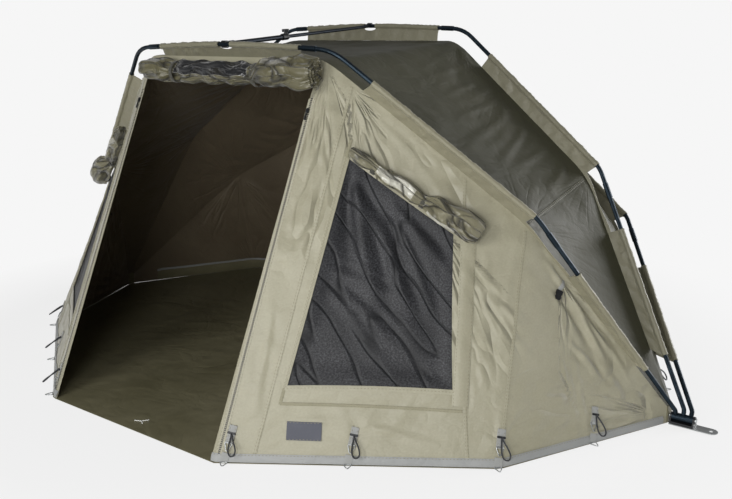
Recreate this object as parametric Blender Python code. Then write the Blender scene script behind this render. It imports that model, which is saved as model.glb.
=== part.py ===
"""Bivvy tent: three hinged pole ribs on two ground hubs, a sewn shell, a tension bar and a groundsheet.

Metres, +Z up, the door faces -Y and the ribs turn on one axis along X between the two hubs.
"""

from math import asin, atan2, cos, hypot, pi, radians, sin

import bmesh
import bpy
from mathutils import Matrix, Vector

# Frame: where the ribs stand
hub_half_width = 1.50
hub_axis_height = 0.025
front_rib_angle = 62.65
mid_rib_angle = 99.1
rear_rib_angle = 127.9

# Front rib, half of it, measured along X and outwards from the hub axis
front_corner_x = 0.480
front_corner_reach = 1.384
front_crown_rise = 0.024
front_crown_flange = 0.034
front_elbow_x = 1.101
front_elbow_reach = 0.795

# Middle rib
mid_corner_x = 0.462
mid_corner_reach = 1.317
mid_crown_rise = 0.018
mid_crown_flange = 0.048
mid_elbow_x = 1.092
mid_elbow_reach = 0.823

# Rear rib
rear_corner_x = 0.450
rear_corner_reach = 1.218
rear_crown_rise = 0.016
rear_crown_flange = 0.048
rear_elbow_x = 1.085
rear_elbow_reach = 0.735

# Pole tube and its bends
pole_radius = 0.008
pole_wall = 0.0012
crown_bend_radius = 5.0
corner_bend_radius = 0.16
elbow_bend_radius = 0.12
neck_bend_radius = 0.03
bend_steps = 5

# Ferrules that join the pole sections
ferrule_radius = 0.0098
ferrule_length = 0.055
socket_depth = 0.044
socket_clearance = 0.0004
crown_section_half = 0.36
elbow_to_ferrule = 0.115

# Hinge eye at the foot of each leg
eye_radius = 0.014
eye_width = 0.0234
eye_pitch = 0.024
eye_neck = 0.030
eye_overlap = 0.0045
pin_radius = 0.005
pin_clearance = 0.0003
leg_plug_length = 0.035

# Hub block and peg plate
cheek_thickness = 0.005
hub_base_depth = 0.040
hub_base_top = 0.0105
peg_plate_thickness = 0.003
peg_plate_width = 0.046
peg_plate_reach = 0.118
peg_hole_radius = 0.007
peg_hole_margin = 0.022
pin_head_radius = 0.009
pin_head_thickness = 0.004

# Sleeves: cloth tunnels round the poles on a standing flange
flange_height = 0.054
flange_thickness = 0.002
sleeve_clearance = 0.0004
sleeve_cloth = 0.0018
crown_sleeve_half = 0.345
clip_gap_half = 0.030
clip_gap_depth = 0.011
corner_to_sleeve = 0.165
sleeve_to_elbow = 0.012
elbow_to_sleeve = 0.235
sleeve_to_hub = 0.215
seam_link_width = 0.012
tunnel_overhang = 0.002

# Shell cloth and the ground outline
shell_thickness = 0.002
seam_gap = 0.0004
seam_foot_inset = 0.048
seam_foot_reach = 0.035
cabin_centre_height = 0.50
door_foot_x = 0.425
door_foot_y = 1.165
front_peg_x = 1.155
front_peg_y = 0.660
rear_peg_x = 1.165
rear_peg_y = 0.650
rear_foot_x = 0.450
rear_foot_y = 1.120
hub_corner_inset = 0.046
hub_corner_y = 0.012
groundsheet_thickness = 0.002
groundsheet_margin = 0.004

# Door and windows, as shares of the panels that hold them
door_head_share = 0.905
door_jamb_share = 0.02
window_side_shares = (0.215, 0.79)
window_height_shares = (0.235, 0.825)

# Rolled door and window covers
door_roll_radius = 0.060
door_roll_stand_off = 0.0004
door_roll_overhang = 0.010
door_roll_height_share = 0.952
window_roll_radius = 0.048
window_roll_stand_off = 0.0004
window_roll_height_share = 0.833
window_roll_side_shares = (0.215, 0.795)

# Zip sliders on the door edges
slider_width = 0.011
slider_length = 0.016
slider_height = 0.007
slider_bridge = 0.004
pull_length = 0.034
pull_width = 0.006
pull_thickness = 0.002
slider_edge_offset = 0.008
slider_drop = 0.050

# Tension bar between the front and middle crowns
bar_tube_radius = 0.0085
bar_rod_radius = 0.0066
bar_fit_clearance = 0.0004
bar_tube_length = 0.300
bar_tube_bore = 0.270
bar_rod_overlap = 0.130
clip_width = 0.024
clip_wall = 0.0045
clip_clearance = 0.0005
clip_mouth_angle = 70.0
saddle_start_angle = 96.0
saddle_end_angle = 178.0
bar_seat = 0.0015
collar_radius = 0.0125
collar_length = 0.030
collar_boss_radius = 0.0065
collar_boss_height = 0.0175
knob_radius = 0.014
knob_thickness = 0.010
knob_stem_radius = 0.003
knob_stem_depth = 0.006
knob_lobes = 5
knob_lobe_share = 0.14

# Facets
tube_sides = 10
ring_sides = 20
roll_sides = 14
overrun = 0.004


def srgb(code):
    """A hex colour as linear red, green, blue and alpha."""
    channels = [int(code[i:i + 2], 16) / 255 for i in (1, 3, 5)]
    linear = [c / 12.92 if c <= 0.04045 else ((c + 0.055) / 1.055) ** 2.4 for c in channels]
    return (*linear, 1.0)


def make_material(name, code, roughness, metallic=0.0):
    material = bpy.data.materials.new(name)
    material.use_nodes = True
    shader = material.node_tree.nodes["Principled BSDF"]
    shader.inputs["Base Color"].default_value = srgb(code)
    shader.inputs["Roughness"].default_value = roughness
    shader.inputs["Metallic"].default_value = metallic
    material.diffuse_color = srgb(code)
    return material


def clear_scene():
    for obj in list(bpy.data.objects):
        bpy.data.objects.remove(obj, do_unlink=True)


def add_object(name, bm, material, parent=None, smooth=True):
    """Turns a bmesh into a named object with outward faces."""
    bmesh.ops.remove_doubles(bm, verts=bm.verts, dist=1e-7)
    bmesh.ops.recalc_face_normals(bm, faces=bm.faces)
    if bm.calc_volume(signed=True) < 0:
        bmesh.ops.reverse_faces(bm, faces=bm.faces)
    mesh = bpy.data.meshes.new(name)
    bm.to_mesh(mesh)
    bm.free()
    if smooth:
        mesh.shade_smooth()
        mesh.set_sharp_from_angle(angle=radians(35))
    mesh.materials.append(material)
    obj = bpy.data.objects.new(name, mesh)
    bpy.context.scene.collection.objects.link(obj)
    obj.parent = parent
    return obj


def add_frame(name, location, turn_x=0.0, parent=None):
    """An empty that stands on a joint's axis."""
    frame = bpy.data.objects.new(name, None)
    bpy.context.scene.collection.objects.link(frame)
    frame.location = location
    frame.rotation_euler = (turn_x, 0, 0)
    frame.parent = parent
    frame.empty_display_size = pole_radius
    return frame


def add_boolean(obj, tool, operation):
    """Joins or cuts obj with a helper that stays out of the render."""
    tool.hide_render = True
    tool.display_type = "WIRE"
    modifier = obj.modifiers.new(operation.title(), "BOOLEAN")
    modifier.operation = operation
    modifier.object = tool
    modifier.solver = "EXACT"


def bridge(bm, first, second):
    """Faces between two rings, either of which may be a single point."""
    count = max(len(first), len(second))
    for i in range(count):
        j = (i + 1) % count
        if len(first) == 1:
            bm.faces.new((first[0], second[j], second[i]))
        elif len(second) == 1:
            bm.faces.new((first[i], first[j], second[0]))
        else:
            bm.faces.new((first[i], first[j], second[j], second[i]))


def add_extrusion(bm, outline, low, high, place):
    """A prism on a closed outline. place turns two outline numbers and a depth into a point."""
    bottom = bm.faces.new([bm.verts.new(place(u, v, low)) for u, v in outline])
    top = bmesh.ops.extrude_face_region(bm, geom=[bottom], use_keep_orig=True)
    moved = [item for item in top["geom"] if isinstance(item, bmesh.types.BMVert)]
    shift = place(0, 0, high) - place(0, 0, low)
    bmesh.ops.translate(bm, verts=moved, vec=shift)


def on_yz(u, v, depth):
    """An outline in the YZ plane, extruded along X."""
    return Vector((depth, u, v))


def on_xz(u, v, depth):
    """An outline in the XZ plane, extruded along Y."""
    return Vector((u, depth, v))


def on_xy(u, v, depth):
    """An outline in the XY plane, extruded along Z."""
    return Vector((u, v, depth))


def arc_points(centre_u, centre_v, radius, start, end, steps):
    """Points along an arc, angles in degrees."""
    angles = [radians(start + (end - start) * i / steps) for i in range(steps + 1)]
    return [(centre_u + radius * cos(a), centre_v + radius * sin(a)) for a in angles]


def circle_points(centre_u, centre_v, radius, sides):
    return arc_points(centre_u, centre_v, radius, 0, 360, sides)[:-1]


def round_polyline(corners, bend_radii):
    """A polyline in a plane whose inner corners are rounded to the bend radii."""
    points = [Vector(corners[0])]
    for i in range(1, len(corners) - 1):
        before, corner, after = Vector(corners[i - 1]), Vector(corners[i]), Vector(corners[i + 1])
        arriving = (corner - before).normalized()
        leaving = (after - corner).normalized()
        turn = arriving.angle_signed(leaving)
        tangent = bend_radii[i] * abs(sin(turn / 2) / cos(turn / 2))
        side = Vector((arriving.y, -arriving.x)) * (1 if turn > 0 else -1)
        centre = corner - arriving * tangent + side * bend_radii[i]
        spoke = corner - arriving * tangent - centre
        for step in range(bend_steps + 1):
            share = step / bend_steps
            points.append(centre + Matrix.Rotation(-turn * share, 2) @ spoke)
    points.append(Vector(corners[-1]))
    return points


def distances_along(path):
    """The running length at each point of a path."""
    found = [0.0]
    for before, after in zip(path, path[1:]):
        found.append(found[-1] + (after - before).length)
    return found


def point_and_heading(path, distance):
    """The place and the direction at a distance along a path, past its ends too."""
    lengths = distances_along(path)
    last = len(path) - 2
    index = max([i for i in range(last + 1) if lengths[i] <= distance] or [0])
    step = path[index + 1] - path[index]
    heading = step.normalized()
    place = path[index] + heading * (distance - lengths[index])
    if index > 0 and distance - lengths[index] < pole_wall / 100:
        before = (path[index] - path[index - 1]).normalized()
        heading = (heading + before).normalized()
    return place, heading


def add_sweep(bm, path, profile, sides, closed=False):
    """Turns a profile of (distance, radius) pairs round a path in the XZ plane, bends included."""
    lengths = distances_along(path)
    stations = [profile[0]]
    for (start, first), (end, second) in zip(profile, profile[1:] + profile[:1]):
        low, high = sorted((start, end))
        between = [d for d in lengths if low + pole_wall / 10 < d < high - pole_wall / 10]
        if end < start:
            between.reverse()
        for distance in between:
            share = (distance - start) / (end - start)
            stations.append((distance, first + (second - first) * share))
        stations.append((end, second))
    stations.pop()
    if not closed and profile[-1][0] > profile[0][0]:
        last = max(i for i, item in enumerate(stations) if item == profile[-1])
        stations = stations[:last + 1]
    rings = []
    for distance, radius in stations:
        place, heading = point_and_heading(path, distance)
        centre = Vector((place.x, 0, place.y))
        across = Vector((-heading.y, 0, heading.x))
        if radius == 0:
            rings.append([bm.verts.new(centre)])
            continue
        angles = [2 * pi * i / sides for i in range(sides)]
        ring = [centre + across * (radius * cos(a)) + Vector((0, radius * sin(a), 0)) for a in angles]
        rings.append([bm.verts.new(point) for point in ring])
    for first, second in zip(rings, rings[1:]):
        bridge(bm, first, second)
    if closed:
        bridge(bm, rings[-1], rings[0])


class Rib:
    """One of the three pole arches: its outline, its seam on the shell and its frame on the hub axis."""

    def __init__(self, name, angle, corner, crown_rise, crown_flange, elbow, eye_slot):
        self.name = name
        self.angle = radians(angle)
        self.eye_x = hub_half_width + eye_slot * eye_pitch
        self.apex = Vector((0, corner[1] + crown_rise))
        self.corner = Vector(corner)
        self.elbow = Vector(elbow)
        self.neck = Vector((self.eye_x, eye_neck))
        foot = Vector((self.eye_x, eye_radius - eye_overlap))
        outline = [
            Vector((-self.corner.x, self.corner.y)), self.apex, self.corner, self.elbow, self.neck, foot,
        ]
        bends = [0, crown_bend_radius, corner_bend_radius, elbow_bend_radius, neck_bend_radius, 0]
        whole = round_polyline(outline, bends)
        middle = whole[1 + bend_steps // 2: 3 + bend_steps // 2]
        self.top = (middle[0] + middle[1]) / 2
        self.path = [self.top] + whole[2 + bend_steps // 2:]
        self.length = distances_along(self.path)[-1]
        self.corner_distance = (self.corner - self.top).length
        self.elbow_distance = self.corner_distance + (self.elbow - self.corner).length
        self.elbow_distance -= self.bend_saving(self.apex, self.corner, self.elbow, corner_bend_radius)
        self.seam_corner = self.inner_corner(self.apex, self.corner, self.elbow, crown_flange)
        self.seam_elbow = self.inner_corner(self.corner, self.elbow, self.neck, flange_height)
        self.seam_foot = Vector((hub_half_width - seam_foot_inset, seam_foot_reach))
        self.frame = add_frame(f"{name}_rib_axis", (0, 0, hub_axis_height), pi / 2 - self.angle)

    @staticmethod
    def bend_saving(before, corner, after, bend_radius):
        """How much shorter a rounded corner is than its two straight sides."""
        turn = (corner - before).angle(after - corner)
        return bend_radius * (2 * sin(turn / 2) / cos(turn / 2) - turn)

    @staticmethod
    def inner_corner(before, corner, after, first_height):
        """The corner of the seam: a first flange height inside the pole before it, and the common one after it."""
        arriving = (corner - before).normalized()
        leaving = (after - corner).normalized()
        turn = arriving.angle(leaving)
        back = (flange_height - first_height * cos(turn)) / sin(turn)
        return corner + Vector((arriving.y, -arriving.x)) * first_height - arriving * back

    def world(self, point, side=1):
        """A point of the rib's plane in the tent's frame."""
        height = hub_axis_height + point.y * sin(self.angle)
        return Vector((side * point.x, -point.y * cos(self.angle), height))

    def half(self, start, end):
        """The right-hand path between two distances from the top."""
        lengths = distances_along(self.path)
        inner = [p for p, d in zip(self.path, lengths) if start + pole_wall < d < end - pole_wall]
        return [point_and_heading(self.path, start)[0], *inner, point_and_heading(self.path, end)[0]]

    def inside(self, distance, offset):
        """A point an offset inside the pole's centre line."""
        place, heading = point_and_heading(self.path, distance)
        return place + Vector((heading.y, -heading.x)) * offset


def mirrored(path, side):
    return [Vector((side * point.x, point.y)) for point in path]


def make_crown_pole(rib, material):
    half = rib.half(0, crown_section_half + socket_depth - socket_clearance)
    path = mirrored(half, -1)[:0:-1] + [half[0]] + half[1:]
    length = distances_along(path)[-1]
    bore = pole_radius - pole_wall
    bm = bmesh.new()
    add_sweep(bm, path, [(0, bore), (0, pole_radius), (length, pole_radius), (length, bore)], tube_sides, True)
    return add_object(f"{rib.name}_crown_pole", bm, material, rib.frame)


def make_shoulder_pole(rib, side, side_name, material):
    """The bent section with a ferrule at each end that takes the crown pole and the leg."""
    path = mirrored(rib.half(crown_section_half, rib.elbow_distance + elbow_to_ferrule), side)
    length = distances_along(path)[-1]
    bore = pole_radius - pole_wall
    socket = pole_radius + socket_clearance
    profile = [
        (socket_depth, bore), (socket_depth, socket), (0, socket), (0, ferrule_radius),
        (ferrule_length, ferrule_radius), (ferrule_length, pole_radius),
        (length - ferrule_length, pole_radius), (length - ferrule_length, ferrule_radius),
        (length, ferrule_radius), (length, socket), (length - socket_depth, socket),
        (length - socket_depth, bore),
    ]
    bm = bmesh.new()
    add_sweep(bm, path, profile, tube_sides, True)
    return add_object(f"{rib.name}_shoulder_pole_{side_name}", bm, material, rib.frame)


def make_leg_pole(rib, side, side_name, material):
    """The straight leg, plugged at its foot and ending in the hinge eye."""
    start = rib.elbow_distance + elbow_to_ferrule - socket_depth + socket_clearance
    path = mirrored(rib.half(start, rib.length), side)
    length = distances_along(path)[-1]
    bore = pole_radius - pole_wall
    plug = length - eye_neck - leg_plug_length
    profile = [(plug, 0), (plug, bore), (0, bore), (0, pole_radius), (length, pole_radius), (length, 0)]
    bm = bmesh.new()
    add_sweep(bm, path, profile, tube_sides)
    leg = add_object(f"{rib.name}_leg_{side_name}", bm, material, rib.frame)
    eye_centre = side * rib.eye_x
    eye = make_ring(
        f"{leg.name}_eye", eye_radius, pin_radius + pin_clearance, eye_centre, eye_width, material, rib.frame,
    )
    add_boolean(leg, eye, "UNION")
    return leg


def make_ring(name, outer, inner, centre_x, width, material, parent):
    """A ring round the X axis."""
    bm = bmesh.new()
    rings = []
    for radius, x in ((inner, -1), (outer, -1), (outer, 1), (inner, 1)):
        points = circle_points(0, 0, radius, ring_sides)
        rings.append([bm.verts.new((centre_x + x * width / 2, u, v)) for u, v in points])
    for first, second in zip(rings, rings[1:] + rings[:1]):
        bridge(bm, first, second)
    return add_object(name, bm, material, parent)


def tunnel_object(rib, path, name, material):
    length = distances_along(path)[-1]
    inner = pole_radius + sleeve_clearance
    outer = inner + sleeve_cloth
    bm = bmesh.new()
    add_sweep(bm, path, [(0, inner), (0, outer), (length, outer), (length, inner)], tube_sides, True)
    return add_object(name, bm, material, rib.frame)


def plate_object(rib, outline, name, material):
    """The flat flange in the rib's plane."""
    bm = bmesh.new()
    half = flange_thickness / 2
    add_extrusion(bm, [(p.x, p.y) for p in outline], -half, half, on_xz)
    return add_object(name, bm, material, rib.frame, smooth=False)


def seam_point(rib, first, second, share, lift):
    """A point on a straight stretch of the seam, lifted off the shell."""
    along = (second - first).normalized()
    outward = Vector((-along.y, along.x))
    return first + (second - first) * share + outward * lift


def make_crown_sleeve(rib, material, clip_gap):
    """The crown's flange and its two tunnels, which leave the middle free for a clip."""
    embed = pole_radius + sleeve_clearance + sleeve_cloth / 2
    seam = rib.seam_corner.y + seam_gap
    gap = clip_gap_half if clip_gap else 0
    edge = rib.half(gap + tunnel_overhang, crown_sleeve_half - tunnel_overhang)
    right = [Vector((point.x, point.y - embed)) for point in edge]
    if clip_gap:
        right.insert(0, Vector((gap + tunnel_overhang, right[0].y - clip_gap_depth)))
    foot = Vector((right[-1].x, seam))
    outline = mirrored(right[::-1], -1) + right + [foot, Vector((-foot.x, foot.y))]
    name = f"{rib.name}_crown_sleeve"
    sleeve = plate_object(rib, outline, name, material)
    paths = [mirrored(rib.half(gap, crown_sleeve_half), side) for side, _ in SIDES]
    if not clip_gap:
        paths = [paths[0][:0:-1] + paths[1]]
    for number, path in enumerate(paths):
        add_boolean(sleeve, tunnel_object(rib, path, f"{name}_tunnel_{number}", material), "UNION")
    return sleeve


def make_side_sleeve(rib, side, side_name, material):
    """Shoulder and leg flanges with their tunnels, tied by the seam round the bare elbow."""
    embed = pole_radius + sleeve_clearance + sleeve_cloth / 2
    shoulder_start = rib.corner_distance + corner_to_sleeve
    shoulder_end = rib.elbow_distance - sleeve_to_elbow
    leg_start = rib.elbow_distance + elbow_to_sleeve
    leg_end = rib.length - sleeve_to_hub
    shoulder_span = rib.elbow_distance - rib.corner_distance
    leg_span = rib.length - rib.elbow_distance
    corner, elbow, foot = rib.seam_corner, rib.seam_elbow, rib.seam_foot

    def on_shoulder(distance, lift):
        return seam_point(rib, corner, elbow, (distance - rib.corner_distance) / shoulder_span, lift)

    def on_leg(distance, lift):
        return seam_point(rib, elbow, foot, (distance - rib.elbow_distance) / leg_span, lift)

    outline = [
        rib.inside(shoulder_start + tunnel_overhang, embed),
        rib.inside(shoulder_end - tunnel_overhang, embed),
        on_shoulder(shoulder_end - tunnel_overhang, seam_link_width),
        seam_point(rib, corner, elbow, 1, seam_link_width),
        on_leg(leg_start + tunnel_overhang, seam_link_width),
        rib.inside(leg_start + tunnel_overhang, embed),
        rib.inside(leg_end - tunnel_overhang, embed),
        on_leg(leg_end - tunnel_overhang, seam_gap),
        seam_point(rib, elbow, foot, 0, seam_gap),
        on_shoulder(shoulder_start + tunnel_overhang, seam_gap),
    ]
    name = f"{rib.name}_sleeve_{side_name}"
    sleeve = plate_object(rib, mirrored(outline, side), name, material)
    for start, end, part in ((shoulder_start, shoulder_end, "shoulder"), (leg_start, leg_end, "leg")):
        path = mirrored(rib.half(start, end), side)
        tool = tunnel_object(rib, path, f"{name}_{part}_tunnel", material)
        add_boolean(sleeve, tool, "UNION")
    return sleeve


def inner_point(point):
    """The same corner on the shell's inner face, level with the ground at the ground."""
    on_ground = point.z < seam_foot_reach / 2
    centre = Vector((0, 0, point.z if on_ground else cabin_centre_height))
    return point + (centre - point).normalized() * shell_thickness


def grid_point(rows, column, row):
    """A point of a patch given as rows of left and right ends, by its shares."""
    index = min(int(row), len(rows) - 2)
    share = row - index
    left = rows[index][0].lerp(rows[index + 1][0], share)
    right = rows[index][1].lerp(rows[index + 1][1], share)
    return left.lerp(right, column)


def make_panel(name, rows, material, columns=(0, 1), row_stops=None, hole=None):
    """A sewn panel between two edges, with a gap to its neighbours and at most one hole of one grid cell."""
    stops = list(row_stops or range(len(rows)))
    width = max((left - right).length for left, right in rows)
    height = (rows[0][0] - rows[-1][0]).length
    columns = [min(max(c, seam_gap / width), 1 - seam_gap / width) for c in columns]
    last = len(rows) - 1
    trim = seam_gap * last / height
    stops = [min(max(s, trim), last - trim) for s in stops]
    inner_rows = [(inner_point(left), inner_point(right)) for left, right in rows]
    bm = bmesh.new()
    layers = []
    for source in (rows, inner_rows):
        layers.append([[bm.verts.new(grid_point(source, c, s)) for c in columns] for s in stops])
    outer, inner = layers
    kept = {
        (i, j) for i in range(len(stops) - 1) for j in range(len(columns) - 1) if (i, j) != hole
    }
    for i, j in sorted(kept):
        corners = [(i, j), (i, j + 1), (i + 1, j + 1), (i + 1, j)]
        for half in (corners[:3], corners[2:] + corners[:1]):
            bm.faces.new([outer[a][b] for a, b in half])
            bm.faces.new([inner[a][b] for a, b in reversed(half)])
        sides = {(i - 1, j): (0, 1), (i, j + 1): (1, 2), (i + 1, j): (2, 3), (i, j - 1): (3, 0)}
        for neighbour, (start, end) in sides.items():
            if neighbour in kept:
                continue
            (a, b), (c, d) = corners[start], corners[end]
            bm.faces.new([outer[a][b], inner[a][b], inner[c][d], outer[c][d]])
    loose = [vert for vert in bm.verts if not vert.link_faces]
    bmesh.ops.delete(bm, geom=loose, context="VERTS")
    return add_object(name, bm, material, smooth=False)


def make_roll(name, start, end, outward, radii, material):
    """A soft roll along a line: radii are shares of the length with the roll's radius there."""
    direction = (end - start).normalized()
    length = (end - start).length
    largest = max(radius for _, radius in radii)
    profile = [(0, 0)] + [(share * length, radius) for share, radius in radii] + [(length, 0)]
    bm = bmesh.new()
    add_sweep(bm, [Vector((0, 0)), Vector((length, 0))], profile, roll_sides)
    side = outward.cross(direction).normalized()
    turn = Matrix((direction, side, direction.cross(side))).transposed().to_4x4()
    roll = add_object(name, bm, material)
    roll.matrix_world = Matrix.Translation(start + outward * largest) @ turn
    return roll


def make_hub(side, side_name, black, steel):
    """The block whose two cheeks hold the pin, on a steel plate with the peg hole."""
    stack = 3 * eye_pitch / 2
    low = side * hub_half_width - stack - cheek_thickness
    high = side * hub_half_width + stack + cheek_thickness
    base_bottom = peg_plate_thickness + seam_gap
    cheek_radius = eye_radius
    half_depth = hub_base_depth / 2
    outline = [(-half_depth, base_bottom), (half_depth, base_bottom), (half_depth, hub_base_top)]
    outline += arc_points(0, hub_axis_height, cheek_radius, -15, 195, 12)
    outline += [(-half_depth, hub_base_top)]
    bm = bmesh.new()
    add_extrusion(bm, outline, low, high, on_yz)
    block = add_object(f"hub_block_{side_name}", bm, black)
    slot_half = half_depth + overrun
    slot = bmesh.new()
    slot_outline = [
        (-slot_half, hub_base_top), (slot_half, hub_base_top),
        (slot_half, hub_axis_height + slot_half), (-slot_half, hub_axis_height + slot_half),
    ]
    add_extrusion(slot, slot_outline, low + cheek_thickness, high - cheek_thickness, on_yz)
    add_boolean(block, add_object(f"hub_slot_{side_name}", slot, black), "DIFFERENCE")
    bore = bmesh.new()
    bore_outline = circle_points(0, hub_axis_height, pin_radius + pin_clearance, ring_sides)
    add_extrusion(bore, bore_outline, low - overrun, high + overrun, on_yz)
    add_boolean(block, add_object(f"hub_bore_{side_name}", bore, black), "DIFFERENCE")

    pin = bmesh.new()
    profile = [
        (0, 0), (0, pin_head_radius), (pin_head_thickness, pin_head_radius), (pin_head_thickness, pin_radius),
        (pin_head_thickness + high - low + 2 * seam_gap, pin_radius),
        (pin_head_thickness + high - low + 2 * seam_gap, pin_head_radius),
        (2 * pin_head_thickness + high - low + 2 * seam_gap, pin_head_radius),
        (2 * pin_head_thickness + high - low + 2 * seam_gap, 0),
    ]
    length = profile[-1][0]
    add_sweep(pin, [Vector((0, 0)), Vector((length, 0))], profile, ring_sides)
    pin_object = add_object(f"hub_pin_{side_name}", pin, steel)
    pin_object.location = (low - seam_gap - pin_head_thickness, 0, hub_axis_height)

    plate = bmesh.new()
    half = peg_plate_width / 2
    inner = hub_half_width - stack - cheek_thickness
    tip = hub_half_width + peg_plate_reach - half
    plate_outline = [(side * inner, -half)] + [
        (side * u, v) for u, v in arc_points(tip, 0, half, -90, 90, 8)
    ] + [(side * inner, half)]
    add_extrusion(plate, plate_outline, 0, peg_plate_thickness, on_xy)
    plate_object_ = add_object(f"peg_plate_{side_name}", plate, steel, smooth=False)
    hole = bmesh.new()
    hole_x = side * (hub_half_width + peg_plate_reach - peg_hole_margin)
    hole_outline = circle_points(hole_x, 0, peg_hole_radius, ring_sides)
    add_extrusion(hole, hole_outline, -overrun, peg_plate_thickness + overrun, on_xy)
    add_boolean(plate_object_, add_object(f"peg_hole_{side_name}", hole, steel), "DIFFERENCE")


def arc_shell(bm, centre_y, inner, outer, start, end, width, steps):
    """Part of a ring round the X axis, between two angles from +Y."""
    outline = arc_points(centre_y, 0, outer, start, end, steps) + arc_points(centre_y, 0, inner, end, start, steps)
    add_extrusion(bm, outline, -width / 2, width / 2, on_yz)


def make_tension_bar(front, mid, black, steel):
    """The telescopic bar: a clip that turns on the front crown, a clamp with a knob, a rod with a saddle."""
    start = front.world(front.top)
    end = mid.world(mid.top)
    span = (end - start).length
    tilt = atan2(end.z - start.z, end.y - start.y)
    frame = add_frame("tension_bar_axis", start, tilt)
    clip_inner = pole_radius + clip_clearance
    clip_outer = clip_inner + clip_wall

    def along_y(profile, name, material, parent):
        length = max(distance for distance, _ in profile)
        bm = bmesh.new()
        add_sweep(bm, [Vector((0, 0)), Vector((length, 0))], profile, tube_sides)
        bmesh.ops.rotate(bm, verts=bm.verts, matrix=Matrix.Rotation(pi / 2, 3, "Z"))
        return add_object(name, bm, material, parent)

    bore = bar_rod_radius + bar_fit_clearance
    tube_start = clip_outer + seam_gap
    tube_end = tube_start + bar_tube_length
    bore_end = tube_end - bar_tube_bore
    tube = along_y(
        [
            (tube_start, 0), (tube_start, bar_tube_radius), (tube_end, bar_tube_radius),
            (tube_end, bore), (bore_end, bore), (bore_end, 0),
        ],
        "tension_bar_tube", steel, frame,
    )

    clip = bmesh.new()
    arc_shell(clip, 0, clip_inner, clip_outer, clip_mouth_angle / 2 - 180, 180 - clip_mouth_angle / 2, clip_width, 16)
    clip_object = add_object("tension_bar_clip", clip, black, frame)
    socket_length = collar_length
    socket = along_y(
        [
            (clip_inner + clip_wall / 2, 0), (clip_inner + clip_wall / 2, bar_tube_radius + clip_wall / 2),
            (tube_start + socket_length, bar_tube_radius + clip_wall / 2),
            (tube_start + socket_length, bar_tube_radius + bar_fit_clearance),
            (clip_outer, bar_tube_radius + bar_fit_clearance), (clip_outer, 0),
        ],
        "tension_bar_socket", black, frame,
    )
    add_boolean(clip_object, socket, "UNION")

    collar_end = tube_end + collar_length / 2
    collar = along_y(
        [
            (tube_end - collar_length / 2, bar_tube_radius + bar_fit_clearance),
            (tube_end - collar_length / 2, collar_radius), (collar_end, collar_radius),
            (collar_end, bore), (tube_end + seam_gap, bore),
            (tube_end + seam_gap, bar_tube_radius + bar_fit_clearance),
            (tube_end - collar_length / 2, bar_tube_radius + bar_fit_clearance),
        ],
        "tension_bar_collar", black, frame,
    )
    boss_y = tube_end + collar_length / 4
    boss = bmesh.new()
    outline = circle_points(0, boss_y, collar_boss_radius, ring_sides)
    add_extrusion(boss, outline, bar_tube_radius + clip_wall / 4, collar_boss_height, on_xy)
    add_boolean(collar, add_object("collar_boss", boss, black, frame), "UNION")
    stem_bore = bmesh.new()
    outline = circle_points(0, boss_y, knob_stem_radius + pin_clearance, ring_sides)
    stem_bottom = collar_boss_height - knob_stem_depth
    add_extrusion(stem_bore, outline, stem_bottom, collar_boss_height + overrun, on_xy)
    add_boolean(collar, add_object("collar_stem_bore", stem_bore, black, frame), "DIFFERENCE")

    knob_frame = bpy.data.objects.new("tension_bar_knob_axis", None)
    bpy.context.scene.collection.objects.link(knob_frame)
    knob_frame.parent = frame
    knob_frame.location = (0, boss_y, collar_boss_height)
    knob = bmesh.new()
    rim = [
        (
            knob_radius * (1 - knob_lobe_share / 2 + knob_lobe_share / 2 * cos(knob_lobes * a)) * cos(a),
            knob_radius * (1 - knob_lobe_share / 2 + knob_lobe_share / 2 * cos(knob_lobes * a)) * sin(a),
        )
        for a in [2 * pi * i / (6 * knob_lobes) for i in range(6 * knob_lobes)]
    ]
    add_extrusion(knob, rim, seam_gap, seam_gap + knob_thickness, on_xy)
    knob_object = add_object("tension_bar_knob", knob, black, knob_frame)
    stem = bmesh.new()
    stem_low = stem_bottom - collar_boss_height + seam_gap
    add_extrusion(stem, circle_points(0, 0, knob_stem_radius, ring_sides), stem_low, knob_thickness / 2, on_xy)
    add_boolean(knob_object, add_object("knob_stem", stem, black, knob_frame), "UNION")

    rod_end = span - clip_inner - bar_seat
    rod = along_y(
        [
            (tube_end - bar_rod_overlap, 0), (tube_end - bar_rod_overlap, bar_rod_radius),
            (rod_end, bar_rod_radius), (rod_end, 0),
        ],
        "tension_bar_rod", steel, frame,
    )
    saddle = bmesh.new()
    arc_shell(saddle, span, clip_inner, clip_outer, saddle_start_angle, saddle_end_angle, clip_width, 8)
    add_boolean(rod, add_object("rod_saddle", saddle, black, frame), "UNION")
    return tube


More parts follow.
